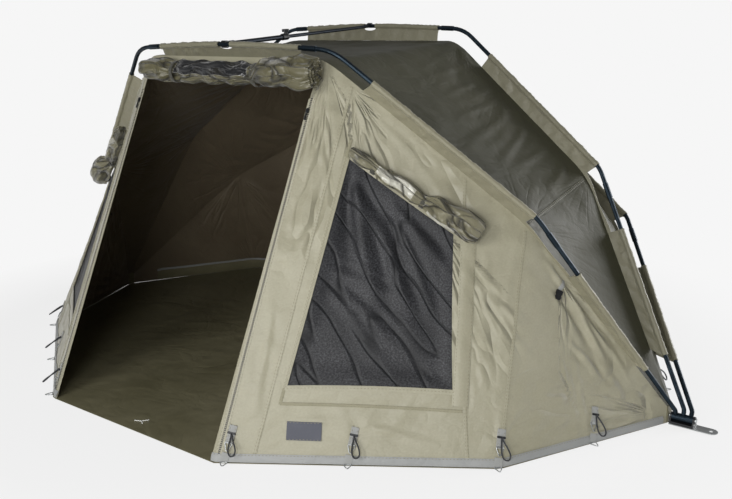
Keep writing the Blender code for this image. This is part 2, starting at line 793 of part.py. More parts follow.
def make_slider(side, side_name, place, down, outward, material):
    """A zip slider: a body with a bridge over it and a pull that hangs from the bridge."""
    across = outward.cross(down).normalized()
    turn = Matrix((across, down, outward)).transposed().to_4x4()
    bm = bmesh.new()
    half = slider_width / 2
    nose = slider_width / 4
    outline = [
        (-half, 0), (-nose, -slider_length / 3), (nose, -slider_length / 3), (half, 0),
        (half, slider_length / 2), (nose, slider_length * 2 / 3), (-nose, slider_length * 2 / 3),
        (-half, slider_length / 2),
    ]
    add_extrusion(bm, outline, seam_gap, seam_gap + slider_height - slider_bridge, on_xy)
    slider = add_object(f"zip_slider_{side_name}", bm, material, smooth=False)
    slider.matrix_world = Matrix.Translation(place) @ turn
    pull = bmesh.new()
    edge = pull_width / 2
    pull_outline = [(-edge / 2, -slider_length / 4)] + arc_points(0, pull_length, edge, 180, 0, 6)
    pull_outline += [(edge / 2, -slider_length / 4)]
    base = seam_gap + slider_height - slider_bridge
    add_extrusion(pull, pull_outline, base - pull_thickness / 2, base + pull_thickness, on_xy)
    tool = add_object(f"zip_pull_{side_name}", pull, material)
    tool.matrix_world = slider.matrix_world
    add_boolean(slider, tool, "UNION")
    return slider


SIDES = ((-1, "left"), (1, "right"))


def main():
    clear_scene()
    alloy = make_material("pole_anodised", "#1F2A33", 0.42, 0.7)
    bar_metal = make_material("bar_anodised", "#1B2129", 0.4, 0.7)
    steel = make_material("zinc_steel", "#A8ABAB", 0.35, 1.0)
    black = make_material("black_nylon", "#15171A", 0.5)
    roof = make_material("roof_cloth", "#6E6C57", 0.62)
    wall = make_material("wall_cloth", "#8F8A70", 0.6)
    flange = make_material("sleeve_cloth", "#948F76", 0.62)
    net = make_material("window_net", "#2B2D31", 0.7)
    floor_cloth = make_material("groundsheet_pvc", "#33301F", 0.38)
    lining = make_material("roll_lining", "#6F6A50", 0.35)

    front = Rib(
        "front", front_rib_angle, (front_corner_x, front_corner_reach), front_crown_rise, front_crown_flange,
        (front_elbow_x, front_elbow_reach), -1,
    )
    mid = Rib(
        "mid", mid_rib_angle, (mid_corner_x, mid_corner_reach), mid_crown_rise, mid_crown_flange,
        (mid_elbow_x, mid_elbow_reach), 0,
    )
    rear = Rib(
        "rear", rear_rib_angle, (rear_corner_x, rear_corner_reach), rear_crown_rise, rear_crown_flange,
        (rear_elbow_x, rear_elbow_reach), 1,
    )
    for rib in (front, mid, rear):
        make_crown_pole(rib, alloy)
        make_crown_sleeve(rib, flange, clip_gap=rib is not rear)
        for side, side_name in SIDES:
            make_shoulder_pole(rib, side, side_name, alloy)
            make_leg_pole(rib, side, side_name, alloy)
            make_side_sleeve(rib, side, side_name, flange)
    for side, side_name in SIDES:
        make_hub(side, side_name, black, steel)

    ground = groundsheet_thickness + seam_gap

    def seam(rib, corner, side):
        return rib.world({"corner": rib.seam_corner, "elbow": rib.seam_elbow, "foot": rib.seam_foot}[corner], side)

    def peg(x, y, side=1):
        return Vector((side * x, y, ground))

    for name, first, second in (("front_bay", front, mid), ("rear_bay", mid, rear)):
        rows = [
            (seam(first, "corner", -1), seam(first, "corner", 1)),
            (seam(second, "corner", -1), seam(second, "corner", 1)),
        ]
        make_panel(f"{name}_roof", rows, roof)
        for side, side_name in SIDES:
            rows = [(seam(first, key, side), seam(second, key, side)) for key in ("corner", "elbow", "foot")]
            make_panel(f"{name}_side_{side_name}", rows, roof)

    door_rows = [
        (peg(door_foot_x, -door_foot_y, -1), peg(door_foot_x, -door_foot_y)),
        (seam(front, "corner", -1), seam(front, "corner", 1)),
    ]
    jamb = door_jamb_share
    make_panel(
        "door_surround", door_rows, wall, (0, jamb, 1 - jamb, 1), (0, door_head_share, 1), (0, 1),
    )
    for side, side_name in SIDES:
        hub_corner = hub_half_width - hub_corner_inset
        rows = [
            (peg(door_foot_x, -door_foot_y, side), peg(front_peg_x, -front_peg_y, side)),
            (seam(front, "corner", side), seam(front, "elbow", side)),
        ]
        across = (0, *window_side_shares, 1)
        upward = (0, *window_height_shares, 1)
        make_panel(f"window_wall_{side_name}", rows, wall, across, upward, (1, 1))
        net_rows = [
            tuple(grid_point(rows, share, height) for share in window_side_shares)
            for height in window_height_shares
        ]
        make_panel(f"window_mesh_{side_name}", net_rows, net)
        outward = (rows[0][1] - rows[0][0]).cross(rows[1][0] - rows[0][0]).normalized() * side
        low, high = window_roll_side_shares
        stand_off = outward * window_roll_stand_off
        make_roll(
            f"window_roll_{side_name}",
            grid_point(rows, low, window_roll_height_share) + stand_off,
            grid_point(rows, high, window_roll_height_share) + stand_off,
            outward,
            window_roll_profile(),
            lining,
        )
        make_panel(
            f"side_wall_{side_name}",
            [
                (peg(front_peg_x, -front_peg_y, side), seam(front, "elbow", side)),
                (peg(hub_corner, -hub_corner_y, side), seam(front, "foot", side)),
            ],
            wall,
        )
        make_panel(
            f"rear_side_{side_name}",
            [
                (peg(rear_foot_x, rear_foot_y, side), peg(rear_peg_x, rear_peg_y, side)),
                (seam(rear, "corner", side), seam(rear, "elbow", side)),
            ],
            roof,
        )
        make_panel(
            f"rear_quarter_{side_name}",
            [
                (peg(rear_peg_x, rear_peg_y, side), seam(rear, "elbow", side)),
                (peg(hub_corner, hub_corner_y, side), seam(rear, "foot", side)),
            ],
            roof,
        )
        edge_top = grid_point(door_rows, jamb if side < 0 else 1 - jamb, door_head_share)
        edge_foot = grid_point(door_rows, jamb if side < 0 else 1 - jamb, 0)
        down = (edge_foot - edge_top).normalized()
        door_out = (door_rows[0][1] - door_rows[0][0]).cross(door_rows[1][0] - door_rows[0][0]).normalized()
        sideways = Vector((side, 0, 0)) * slider_edge_offset
        make_slider(side, side_name, edge_top + down * slider_drop + sideways, down, door_out, black)

    make_panel(
        "rear_wall",
        [
            (peg(rear_foot_x, rear_foot_y, -1), peg(rear_foot_x, rear_foot_y)),
            (seam(rear, "corner", -1), seam(rear, "corner", 1)),
        ],
        roof,
    )

    door_out = (door_rows[0][1] - door_rows[0][0]).cross(door_rows[1][0] - door_rows[0][0]).normalized()
    roll_line = [
        grid_point(door_rows, share, door_roll_height_share) + door_out * door_roll_stand_off for share in (0, 1)
    ]
    along = (roll_line[1] - roll_line[0]).normalized() * door_roll_overhang
    make_roll(
        "door_roll", roll_line[0] + along, roll_line[1] - along, door_out, door_roll_profile(), lining,
    )

    outline = [
        (door_foot_x, -door_foot_y), (front_peg_x, -front_peg_y), (hub_half_width - hub_corner_inset, 0),
        (rear_peg_x, rear_peg_y), (rear_foot_x, rear_foot_y),
    ]
    outline += [(-x, y) for x, y in reversed(outline)]
    grown = [(x + groundsheet_margin * x / hypot(x, y), y + groundsheet_margin * y / hypot(x, y)) for x, y in outline]
    bm = bmesh.new()
    add_extrusion(bm, grown, 0, groundsheet_thickness, on_xy)
    add_object("groundsheet", bm, floor_cloth, smooth=False)

    make_tension_bar(front, mid, black, bar_metal)


def door_roll_profile():
    """Radii of the rolled door, drawn in at its two ties and full at its ends."""
    full_share, tie_share, middle_share = 1.0, 0.66, 0.8
    shares = [
        (0.0, tie_share), (0.02, middle_share), (0.14, middle_share), (0.2, tie_share), (0.27, middle_share),
        (0.5, middle_share), (0.64, middle_share), (0.7, tie_share), (0.77, full_share), (0.97, full_share),
        (1.0, middle_share),
    ]
    return [(share, door_roll_radius * radius_share) for share, radius_share in shares]


def window_roll_profile():
    """Radii of a rolled window cover, drawn in at its ties and fullest at its lower end."""
    shares = [
        (0.0, 0.38), (0.03, 0.48), (0.13, 0.54), (0.18, 0.4), (0.25, 0.6), (0.52, 0.64), (0.58, 0.45),
        (0.66, 0.84), (0.8, 1.0), (0.98, 1.0), (1.0, 0.8),
    ]
    return [(share, window_roll_radius * radius_share) for share, radius_share in shares]


main()
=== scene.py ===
"""Bivvy tent, dressed: sewn cloth over three pole ribs, rolled door and windows, groundsheet and fittings."""

import logging
import math
from dataclasses import dataclass, field
from enum import Enum
from functools import cached_property
from typing import Any, Callable, Iterable, Sequence

import bmesh
import bpy
import numpy as np
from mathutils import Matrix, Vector


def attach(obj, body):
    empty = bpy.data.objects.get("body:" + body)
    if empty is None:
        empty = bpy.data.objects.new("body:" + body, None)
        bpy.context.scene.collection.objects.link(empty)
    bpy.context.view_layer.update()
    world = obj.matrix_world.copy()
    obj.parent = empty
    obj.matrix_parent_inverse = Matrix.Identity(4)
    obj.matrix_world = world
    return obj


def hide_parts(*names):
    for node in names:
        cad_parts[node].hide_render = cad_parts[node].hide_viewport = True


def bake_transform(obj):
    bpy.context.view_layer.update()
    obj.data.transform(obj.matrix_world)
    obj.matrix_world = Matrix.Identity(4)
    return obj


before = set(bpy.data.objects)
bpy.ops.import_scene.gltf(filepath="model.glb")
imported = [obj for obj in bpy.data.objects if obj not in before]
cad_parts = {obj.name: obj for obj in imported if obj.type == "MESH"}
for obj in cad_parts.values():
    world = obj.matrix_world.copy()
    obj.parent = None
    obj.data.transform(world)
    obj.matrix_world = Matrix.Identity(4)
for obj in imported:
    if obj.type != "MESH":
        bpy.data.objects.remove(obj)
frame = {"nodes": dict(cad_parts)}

Points = np.ndarray
Pair = tuple[float, float]
Triple = tuple[float, float, float]

log = logging.getLogger("bivvy")
HUB_AXIS_HEIGHT = 0.025
HUB_HALF_WIDTH = 1.50
CLOTH_THICKNESS = 0.0011
SIDES = ((-1, "left"), (1, "right"))
UP = np.array([0.0, 0.0, 1.0])
# Places of the corner seams along an edge, and the whole edge with its corners
SEAM_PLACES = (-2.0, -1.0, 1.0, 2.0)
WHOLE_EDGE = (-3, -2, -1, 1, 2, 3)
# About one turn, for the phases of random waves
ROUGH_TURN = 6.28
# Metres from one band to the next of a wave texture at scale 1
WAVE_PERIOD = 2 * math.pi / 20


# Numbers and curves


def unit(vectors: Points) -> Points:
    """Each vector at length one."""
    return vectors / np.maximum(np.linalg.norm(vectors, axis=-1, keepdims=True), 1e-12)


def ease(share: Points) -> Points:
    """A share from 0 to 1, with soft ends."""
    share = np.clip(share, 0.0, 1.0)
    return share * share * (3.0 - 2.0 * share)


def running_length(path: Points) -> Points:
    """The distance along a path at each of its points."""
    return np.concatenate([[0.0], np.cumsum(np.linalg.norm(np.diff(path, axis=0), axis=1))])


def at_lengths(path: Points, lengths: Points) -> Points:
    """The places at some distances along a path."""
    run = running_length(path)
    return np.stack([np.interp(lengths, run, path[:, axis]) for axis in range(path.shape[1])], axis=1)


def rounded_polyline(corners: Sequence[Pair], radii: Sequence[float], steps: int = 10) -> Points:
    """A polyline in a plane whose inner corners are rounded.

    Args:
        corners: the corner points.
        radii: the bend radius at each corner, 0 at the two ends.
        steps: the facets of each bend.

    Returns:
        The points of the rounded line.
    """
    points = [np.array(corners[0])]
    for before, corner, after, radius in zip(corners, corners[1:], corners[2:], radii[1:]):
        corner = np.array(corner)
        arriving = unit(corner - np.array(before))
        leaving = unit(np.array(after) - corner)
        turn = math.acos(float(np.clip(arriving @ leaving, -1, 1)))
        tangent = radius * math.tan(turn / 2)
        inward = unit(leaving - arriving)
        centre = corner + inward * radius / math.cos(turn / 2)
        start = corner - arriving * tangent - centre
        spin = math.copysign(1.0, arriving[0] * leaving[1] - arriving[1] * leaving[0])
        for step in range(steps + 1):
            angle = spin * turn * step / steps
            cosine, sine = math.cos(angle), math.sin(angle)
            turned = (start[0] * cosine - start[1] * sine, start[0] * sine + start[1] * cosine)
            points.append(centre + np.array(turned))
    points.append(np.array(corners[-1]))
    return np.array(points)


def to_linear(code: str) -> tuple[float, float, float, float]:
    """An sRGB hex colour as linear red, green, blue and alpha.

    Args:
        code: six hex digits after a hash.

    Returns:
        The four linear parts.
    """
    channels = [int(code[i : i + 2], 16) / 255 for i in (1, 3, 5)]
    linear = [c / 12.92 if c <= 0.04045 else ((c + 0.055) / 1.055) ** 2.4 for c in channels]
    return (linear[0], linear[1], linear[2], 1.0)


# The frame's shape, from the same sizes as the part


@dataclass
class Rib:
    """One pole arch: its outline in its own plane, and its seam on the shell."""

    name: str
    angle: float
    corner: Pair
    crown_rise: float
    crown_flange: float
    elbow: Pair
    eye_slot: int
    flange_height: float = 0.054
    pole_radius: float = 0.008
    eye_pitch: float = 0.024
    seam_foot: Pair = (1.452, 0.035)
    seam_rounding: float = 0.085

    def world(self, flat: Points, lift: Points | float = 0.0) -> Points:
        """Points of the rib's plane in the tent's frame.

        Args:
            flat: across and outward distances from the hub axis, (n, 2).
            lift: how far each point stands off the plane, towards the door.

        Returns:
            The places, (n, 3).
        """
        turn = math.radians(self.angle)
        normal = np.array([0.0, -math.sin(turn), -math.cos(turn)])
        out = flat[..., 1]
        places = np.stack([flat[..., 0], -out * math.cos(turn), HUB_AXIS_HEIGHT + out * math.sin(turn)], axis=-1)
        return places + np.asarray(lift)[..., None] * normal

    @cached_property
    def path(self) -> Points:
        """The right-hand half of the pole's centre line, from the top of the crown to the eye."""
        eye_x = HUB_HALF_WIDTH + self.eye_slot * self.eye_pitch
        apex = (0.0, self.corner[1] + self.crown_rise)
        left = (-self.corner[0], self.corner[1])
        outline = [left, apex, self.corner, self.elbow, (eye_x, 0.030), (eye_x, 0.0095)]
        whole = rounded_polyline(outline, [0, 5.0, 0.16, 0.12, 0.03, 0])
        right = whole[whole[:, 0] > 1e-6]
        top = whole[np.abs(whole[:, 0]).argmin()]
        return np.vstack([[0.0, top[1]], right])

    @cached_property
    def length(self) -> float:
        """The length of that half."""
        return float(running_length(self.path)[-1])

    @cached_property
    def corner_distance(self) -> float:
        """How far along the half the crown's corner is."""
        return float(np.linalg.norm(np.array(self.corner) - self.path[0]))

    @cached_property
    def elbow_distance(self) -> float:
        """How far along the half the elbow is."""
        run = running_length(self.path)
        nearest = np.linalg.norm(self.path - np.array(self.elbow), axis=1).argmin()
        return float(run[nearest])

    def inner_corner(self, before: Pair, corner: Pair, after: Pair, first_height: float) -> Points:
        """The seam's corner: a first flange height inside the pole before it, and the common one after it.

        Args:
            before: the pole's corner before it.
            corner: the pole's corner.
            after: the pole's corner after it.
            first_height: the flange height before it, in metres.

        Returns:
            The corner in the rib's plane.
        """
        arriving = unit(np.array(corner) - np.array(before))
        leaving = unit(np.array(after) - np.array(corner))
        turn = math.acos(float(np.clip(arriving @ leaving, -1, 1)))
        back = (self.flange_height - first_height * math.cos(turn)) / math.sin(turn)
        return np.array(corner) + np.array([arriving[1], -arriving[0]]) * first_height - arriving * back

    @cached_property
    def seam_corners(self) -> Points:
        """The seam's corner, elbow and foot on the right, in the rib's plane."""
        apex = (0.0, self.corner[1] + self.crown_rise)
        neck = (HUB_HALF_WIDTH + self.eye_slot * self.eye_pitch, 0.030)
        corner = self.inner_corner(apex, self.corner, self.elbow, self.crown_flange)
        elbow = self.inner_corner(self.corner, self.elbow, neck, self.flange_height)
        return np.array([corner, elbow, self.seam_foot])

    @cached_property
    def seam(self) -> "Edge":
        """The whole seam from the left foot to the right one."""
        right = self.world(self.seam_corners)
        return Edge.mirrored(right, self.seam_rounding)

    def seam_flat(self, places: Points) -> Points:
        """The seam in the rib's plane: 1 is the corner, 2 the elbow and 3 the foot, below 0 on the left.

        Args:
            places: places along the seam.

        Returns:
            Points in the rib's plane.
        """
        world = self.seam.at(places)
        out = np.hypot(world[:, 1], world[:, 2] - HUB_AXIS_HEIGHT)
        return np.stack([world[:, 0], out], axis=1)

    def pole_at(self, distances: Points) -> tuple[Points, Points]:
        """The centre line and the inward direction at distances from the top, in the rib's plane.

        Args:
            distances: in metres along the pole.

        Returns:
            The points and the directions.
        """
        places = at_lengths(self.path, distances)
        ahead = at_lengths(self.path, np.minimum(distances + 0.004, self.length))
        behind = at_lengths(self.path, np.maximum(distances - 0.004, 0.0))
        heading = unit(ahead - behind)
        return places, np.stack([heading[:, 1], -heading[:, 0]], axis=1)


@dataclass
class Edge:
    """A sewn edge through soft corner points. Place 1 to 3 runs down the right, -1 to -3 down the left."""

    knots: Points
    corners: Points
    rounding: float

    @classmethod
    def mirrored(cls, right: Points, rounding: float) -> "Edge":
        """An edge through three right-hand points and their mirror images.

        Args:
            right: the three points.
            rounding: how soft the corners are.

        Returns:
            The edge.
        """
        left = right[::-1] * np.array([-1.0, 1.0, 1.0])
        corners = np.vstack([left, right])
        before, after = 2 * corners[0] - corners[1], 2 * corners[-1] - corners[-2]
        knots = np.array([-4.0, -3.0, -2.0, -1.0, 1.0, 2.0, 3.0, 4.0])
        return cls(knots, np.vstack([before, corners, after]), rounding)

    def raw(self, places: Points) -> Points:
        """The sharp-cornered edge."""
        return np.stack([np.interp(places, self.knots, self.corners[:, axis]) for axis in range(3)], axis=-1)

    def at(self, places: Points) -> Points:
        """The soft edge: the mean of the sharp one over a short reach to both sides.

        Args:
            places: places along the edge.

        Returns:
            Points in the world.
        """
        reach = np.minimum(self.rounding, np.maximum(3.0 - np.abs(places), 1e-6))
        shifts = np.linspace(-1.0, 1.0, 9)
        return sum(self.raw(places + reach * shift) for shift in shifts) / len(shifts)


FRONT = Rib("front", 62.65, (0.480, 1.384), 0.024, 0.034, (1.101, 0.795), -1)
MIDDLE = Rib("mid", 99.1, (0.462, 1.317), 0.018, 0.048, (1.092, 0.823), 0)
REAR = Rib("rear", 127.9, (0.450, 1.218), 0.016, 0.048, (1.085, 0.735), 1)
GROUND_LEVEL = 0.0024
DOOR_FOOT = (0.425, -1.165)
FRONT_GROUND = Edge.mirrored(
    np.array([[*DOOR_FOOT, GROUND_LEVEL], [1.155, -0.660, GROUND_LEVEL], [1.454, -0.012, GROUND_LEVEL]]), 0.012
)
REAR_GROUND = Edge.mirrored(
    np.array([[0.450, 1.120, GROUND_LEVEL], [1.165, 0.650, GROUND_LEVEL], [1.454, 0.012, GROUND_LEVEL]]), 0.03
)


# How cloth turns with the ribs


@dataclass(frozen=True)
class Hang:
    """What a piece moves with: one body; for two, the second body's share of the turn by the angle about a line along X
    is worked out, but the piece is not hung on them.

    The angle is taken in the YZ plane from -Y upwards, in degrees, and the second body's share grows from start to end.
    """

    first: str
    second: str = ""
    centre: Pair = (0.0, HUB_AXIS_HEIGHT)
    start: float = 0.0
    end: float = 0.0

    def shares(self, points: Points) -> Points:
        """The second body's share at each point.

        Args:
            points: points at rest.

        Returns:
            The shares, 0 to 1.
        """
        angle = np.degrees(np.arctan2(points[:, 2] - self.centre[1], -(points[:, 1] - self.centre[0])))
        if self.start < -90.0:
            angle = np.where(angle > 90.0, angle - 360.0, angle)
        return np.clip((angle - self.start) / (self.end - self.start), 0.0, 1.0)

    def attach(self, obj: bpy.types.Object) -> None:
        """Hangs a finished piece on its one body; with two bodies, it only bakes the piece's transform and reads its
        points.

        Args:
            obj: the piece.
        """
        if not self.second:
            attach(obj, self.first)
            return
        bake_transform(obj)
        count = len(obj.data.vertices)
        points = np.zeros(count * 3)
        obj.data.vertices.foreach_get("co", points)


CROWN_SEAM = tuple(float(place) for place in FRONT.world(FRONT.seam_corners[:1])[0][1:])
WALL_SLOPE = math.degrees(math.atan2(GROUND_LEVEL - CROWN_SEAM[1], CROWN_SEAM[0] - DOOR_FOOT[1]))
ON_GROUND = Hang("ground_base")
ON_FRONT_WALL = Hang("front_wall")
FRONT_BAY = Hang("mid_rib", "front_rib", start=MIDDLE.angle, end=FRONT.angle)
REAR_BAY = Hang("rear_rib", "mid_rib", start=REAR.angle, end=MIDDLE.angle)
REAR_SHELL = Hang("ground_base", "rear_rib", start=180.0, end=REAR.angle)
FRONT_SHELL = Hang("front_rib", "front_wall", centre=CROWN_SEAM, start=FRONT.angle - 180.0, end=WALL_SLOPE)


# Materials


def add_node(tree: Any, kind: str, inputs: dict[Any, Any] | None = None, **settings: Any) -> Any:
    """Adds one node with its settings and its links.

    Args:
        tree: the node tree.
        kind: the node's type, a shader node's without its prefix.
        inputs: input name or number to a value, to a colour as sRGB hex, to the socket that feeds it, or to a node
            whose first output in use feeds it.
        settings: the node's own settings.

    Returns:
        The node.
    """
    node = tree.nodes.new(kind if "Node" in kind else f"ShaderNode{kind}")
    for name, value in settings.items():
        setattr(node, name, value)
    for name, value in (inputs or {}).items():
        if isinstance(value, bpy.types.Node):
            value = next(socket for socket in value.outputs if socket.enabled)
        if isinstance(value, bpy.types.NodeSocket):
            tree.links.new(value, node.inputs[name])
        else:
            is_colour = isinstance(value, str) and value.startswith("#")
            node.inputs[name].default_value = to_linear(value) if is_colour else value
    return node


def crease_lines(tree: Any, noise: Any, *levels: float) -> Any:
    """A height that dips along the lines where a noise crosses its middle.

    Args:
        tree: the node tree.
        noise: the noise node.
        levels: how far from the middle the height is lowest and highest, then those heights if not 0 and 1.

    Returns:
        The node of the height.
    """
    centred = add_node(tree, "Math", {0: noise, 1: 0.5}, operation="SUBTRACT")
    ridge = add_node(tree, "Math", {0: centred}, operation="ABSOLUTE")
    return add_node(tree, "MapRange", dict(enumerate((ridge, *levels))))


def colour_between(tree: Any, value: Any, levels: Sequence[float], first: Any, second: Any) -> Any:
    """A colour that goes from a first to a second one where a value is between two levels.

    Args:
        tree: the node tree.
        value: what decides the share of the second colour.
        levels: the value's range, then the range of the share if not 0 to 1.
        first: a colour, as sRGB hex or a node.
        second: a colour, as sRGB hex or a node.

    Returns:
        The node of the colour.
    """
    share = add_node(tree, "MapRange", dict(enumerate((value, *levels))))
    return add_node(tree, "Mix", {0: share, 6: first, 7: second}, data_type="RGBA")


@dataclass(frozen=True)
class Surface:
    """What every surface has: a name, and a material made from the inputs of one shader."""

    name: str

    def shading(self, tree: Any) -> dict[str, Any]:
        """The shader's inputs, made in a tree."""
        raise NotImplementedError

    def material(self) -> bpy.types.Material:
        """The material."""
        material = bpy.data.materials.new(self.name)
        material.use_nodes = True
        tree = material.node_tree
        tree.nodes.clear()
        shader = add_node(tree, "BsdfPrincipled", self.shading(tree))
        add_node(tree, "OutputMaterial", {"Surface": shader})
        return material


@dataclass(frozen=True)
class WovenCloth(Surface):
    """Coated woven polyester: dyed yarn under a thin waterproof coat, so it is matt in the dip and glossy on a fold.

    The yarn is drawn 1.6 mm apart, because the real 0.4 mm is too fine to show.
    """

    colour: str
    worn: str
    roughness: float = 0.52
    sheen: float = 0.25
    crumple: float = 0.45
    pulled: float = 0.8
    weave_pitch_mm: float = 1.6336

    def shading(self, tree: Any) -> dict[str, Any]:
        """Clouds in the dye, specks of yarn, and the relief.

        Args:
            tree: the material's nodes.

        Returns:
            The shader's inputs.
        """
        flat = add_node(tree, "TexCoord").outputs["UV"]
        cloud = add_node(tree, "TexNoise", {"Vector": flat, "Scale": 3.2, "Detail": 4.0, "Roughness": 0.6})
        grain = add_node(tree, "TexNoise", {"Vector": flat, "Scale": 150.0, "Detail": 2.0})
        colour = colour_between(tree, cloud, (0.32, 0.7), self.colour, self.worn)
        speck = add_node(tree, "MapRange", {0: grain, 1: 0.3, 2: 0.7, 3: 0.96, 4: 1.04})
        low, high = self.roughness - 0.06, self.roughness + 0.08
        return {
            "Base Color": add_node(tree, "HueSaturation", {"Color": colour, "Value": speck}),
            "Roughness": add_node(tree, "MapRange", {0: cloud, 1: 0.3, 2: 0.7, 3: low, 4: high}),
            "Normal": self.relief(tree, flat),
            "Sheen Weight": self.sheen,
            "Sheen Roughness": 0.4,
            "IOR": 1.46,
        }

    def relief(self, tree: Any, flat: Any) -> Any:
        """Bump of the weave, of the crumples that packing leaves, and of the creases where the cloth is pulled.

        Args:
            tree: the material's nodes.
            flat: the places on the flat cloth.

        Returns:
            The bumped normal.
        """
        thread = 1000.0 * WAVE_PERIOD / self.weave_pitch_mm
        warp, weft = (
            add_node(tree, "TexWave", {"Vector": flat, "Scale": thread}, bands_direction=way).outputs["Fac"]
            for way in "XY"
        )
        weave = add_node(tree, "Math", {0: warp, 1: weft}, operation="MULTIPLY")
        yarn = add_node(tree, "Bump", {"Height": weave, "Strength": 0.22, "Distance": 0.0002})
        bend = add_node(tree, "TexNoise", {"Vector": flat, "Scale": 6.0, "Detail": 2.0}).outputs["Color"]
        moved = add_node(tree, "VectorMath", {0: bend, 1: (0.06, 0.06, 0.0), 2: flat}, operation="MULTIPLY_ADD")
        folds = add_node(tree, "TexNoise", {"Vector": moved, "Scale": 13.0, "Detail": 3.0, "Roughness": 0.5})
        height = crease_lines(tree, folds, 0.0, 0.11)
        crumples = add_node(
            tree, "Bump", {"Height": height, "Strength": self.crumple, "Distance": 0.003, "Normal": yarn}
        )
        pull = add_node(tree, "Attribute", attribute_name="pull").outputs["Vector"]
        angle, distance, strength = add_node(tree, "SeparateXYZ", {"Vector": pull}).outputs
        rays = add_node(tree, "CombineXYZ", {"X": angle, "Y": distance})
        streaks = {"Vector": rays, "Scale": 12.0, "Detail": 2.0, "Roughness": 0.5, "Distortion": 0.2}
        height = crease_lines(tree, add_node(tree, "TexNoise", streaks), 0.0, 0.07)
        patches = add_node(tree, "TexNoise", {"Vector": flat, "Scale": 4.5, "Detail": 2.0})
        held = add_node(tree, "MapRange", {0: patches, 1: 0.33, 2: 0.55, 3: 0.15, 4: 1.0})
        for factor in (strength, held):
            height = add_node(tree, "Math", {0: height, 1: factor}, operation="MULTIPLY")
        return add_node(
            tree, "Bump", {"Height": height, "Strength": self.pulled, "Distance": 0.012, "Normal": crumples}
        )


@dataclass(frozen=True)
class Netting(Surface):
    """Knitted insect mesh drawn as an opaque pane: the open spaces between its black loops are painted dark as the
    shade inside the tent behind them, and the loops catch the light as a grey sparkle.

    The loops are drawn at 3.6 mm, because the real 1.3 mm is too fine to show.
    """

    # Painted shade: the colour between the loops, for the dark inside seen through the net
    dark: str
    light: str
    mesh_pitch_mm: float = 3.6

    def shading(self, tree: Any) -> dict[str, Any]:
        """The loops, their glints, and the slanting folds of slack net, which also darken its colour as painted shade.

        Args:
            tree: the material's nodes.

        Returns:
            The shader's inputs.
        """
        flat = add_node(tree, "TexCoord").outputs["UV"]
        cells = {"Vector": flat, "Scale": 1000.0 / self.mesh_pitch_mm}
        loops = add_node(tree, "TexVoronoi", cells, feature="DISTANCE_TO_EDGE")
        yarn = add_node(tree, "MapRange", {0: loops, 1: 0.02, 2: 0.3, 3: 1.0, 4: 0.0})
        glint = add_node(tree, "TexNoise", {"Vector": flat, "Scale": 170.0, "Detail": 1.0})
        cloud = add_node(tree, "TexNoise", {"Vector": flat, "Scale": 7.0, "Detail": 3.0})
        slant = {"Vector": flat, "Rotation": (0.0, 0.0, -0.9), "Scale": (0.5, 0.11, 1.0)}
        slanted = add_node(tree, "Mapping", slant, vector_type="TEXTURE")
        waves = {"Vector": slanted, "Scale": 1.0, "Detail": 1.5, "Roughness": 0.4, "Distortion": 0.15}
        dip = crease_lines(tree, add_node(tree, "TexNoise", waves), 0.002, 0.024, 0.25, 1.0)
        glints = add_node(tree, "MapRange", {0: glint, 1: 0.35, 2: 0.65})
        clouds = add_node(tree, "MapRange", {0: cloud, 1: 0.3, 2: 0.7, 3: 0.5})
        share = yarn
        # The dip darkens the colour along the folds: painted shade
        for factor in (glints, clouds, dip):
            share = add_node(tree, "Math", {0: share, 1: factor}, operation="MULTIPLY")
        fold = add_node(tree, "Bump", {"Height": dip, "Strength": 0.5, "Distance": 0.008})
        return {
            "Base Color": add_node(tree, "Mix", {0: share, 6: self.dark, 7: self.light}, data_type="RGBA"),
            "Normal": add_node(tree, "Bump", {"Height": yarn, "Strength": 0.35, "Distance": 0.0006, "Normal": fold}),
            "Sheen Weight": 0.04,
            "Roughness": 0.5,
            "Specular IOR Level": 0.35,
        }


@dataclass(frozen=True)
class CoatedSheet(Surface):
    """Heavy groundsheet: polyethylene weave between two smooth films, which shines in long soft streaks."""

    colour: str
    worn: str
    roughness: float = 0.36
    crumple: float = 0.5
    crease_mm: float = 88.0

    def shading(self, tree: Any) -> dict[str, Any]:
        """Dust in clouds, and the creases of packing.

        Args:
            tree: the material's nodes.

        Returns:
            The shader's inputs.
        """
        place = add_node(tree, "TexCoord").outputs["Object"]
        cloud = add_node(tree, "TexNoise", {"Vector": place, "Scale": 2.4, "Detail": 5.0, "Roughness": 0.65})
        cells = {"Vector": place, "Scale": 1000.0 / self.crease_mm, "Detail": 3.0, "Distortion": 0.6}
        height = crease_lines(tree, add_node(tree, "TexNoise", cells), 0.0, 0.12)
        low, high = self.roughness - 0.05, self.roughness + 0.14
        return {
            "Base Color": colour_between(tree, cloud, (0.35, 0.72), self.colour, self.worn),
            "Roughness": add_node(tree, "MapRange", {0: cloud, 1: 0.3, 2: 0.7, 3: low, 4: high}),
            "Normal": add_node(tree, "Bump", {"Height": height, "Strength": self.crumple, "Distance": 0.003}),
            "IOR": 1.5,
            "Specular IOR Level": 0.45,
        }


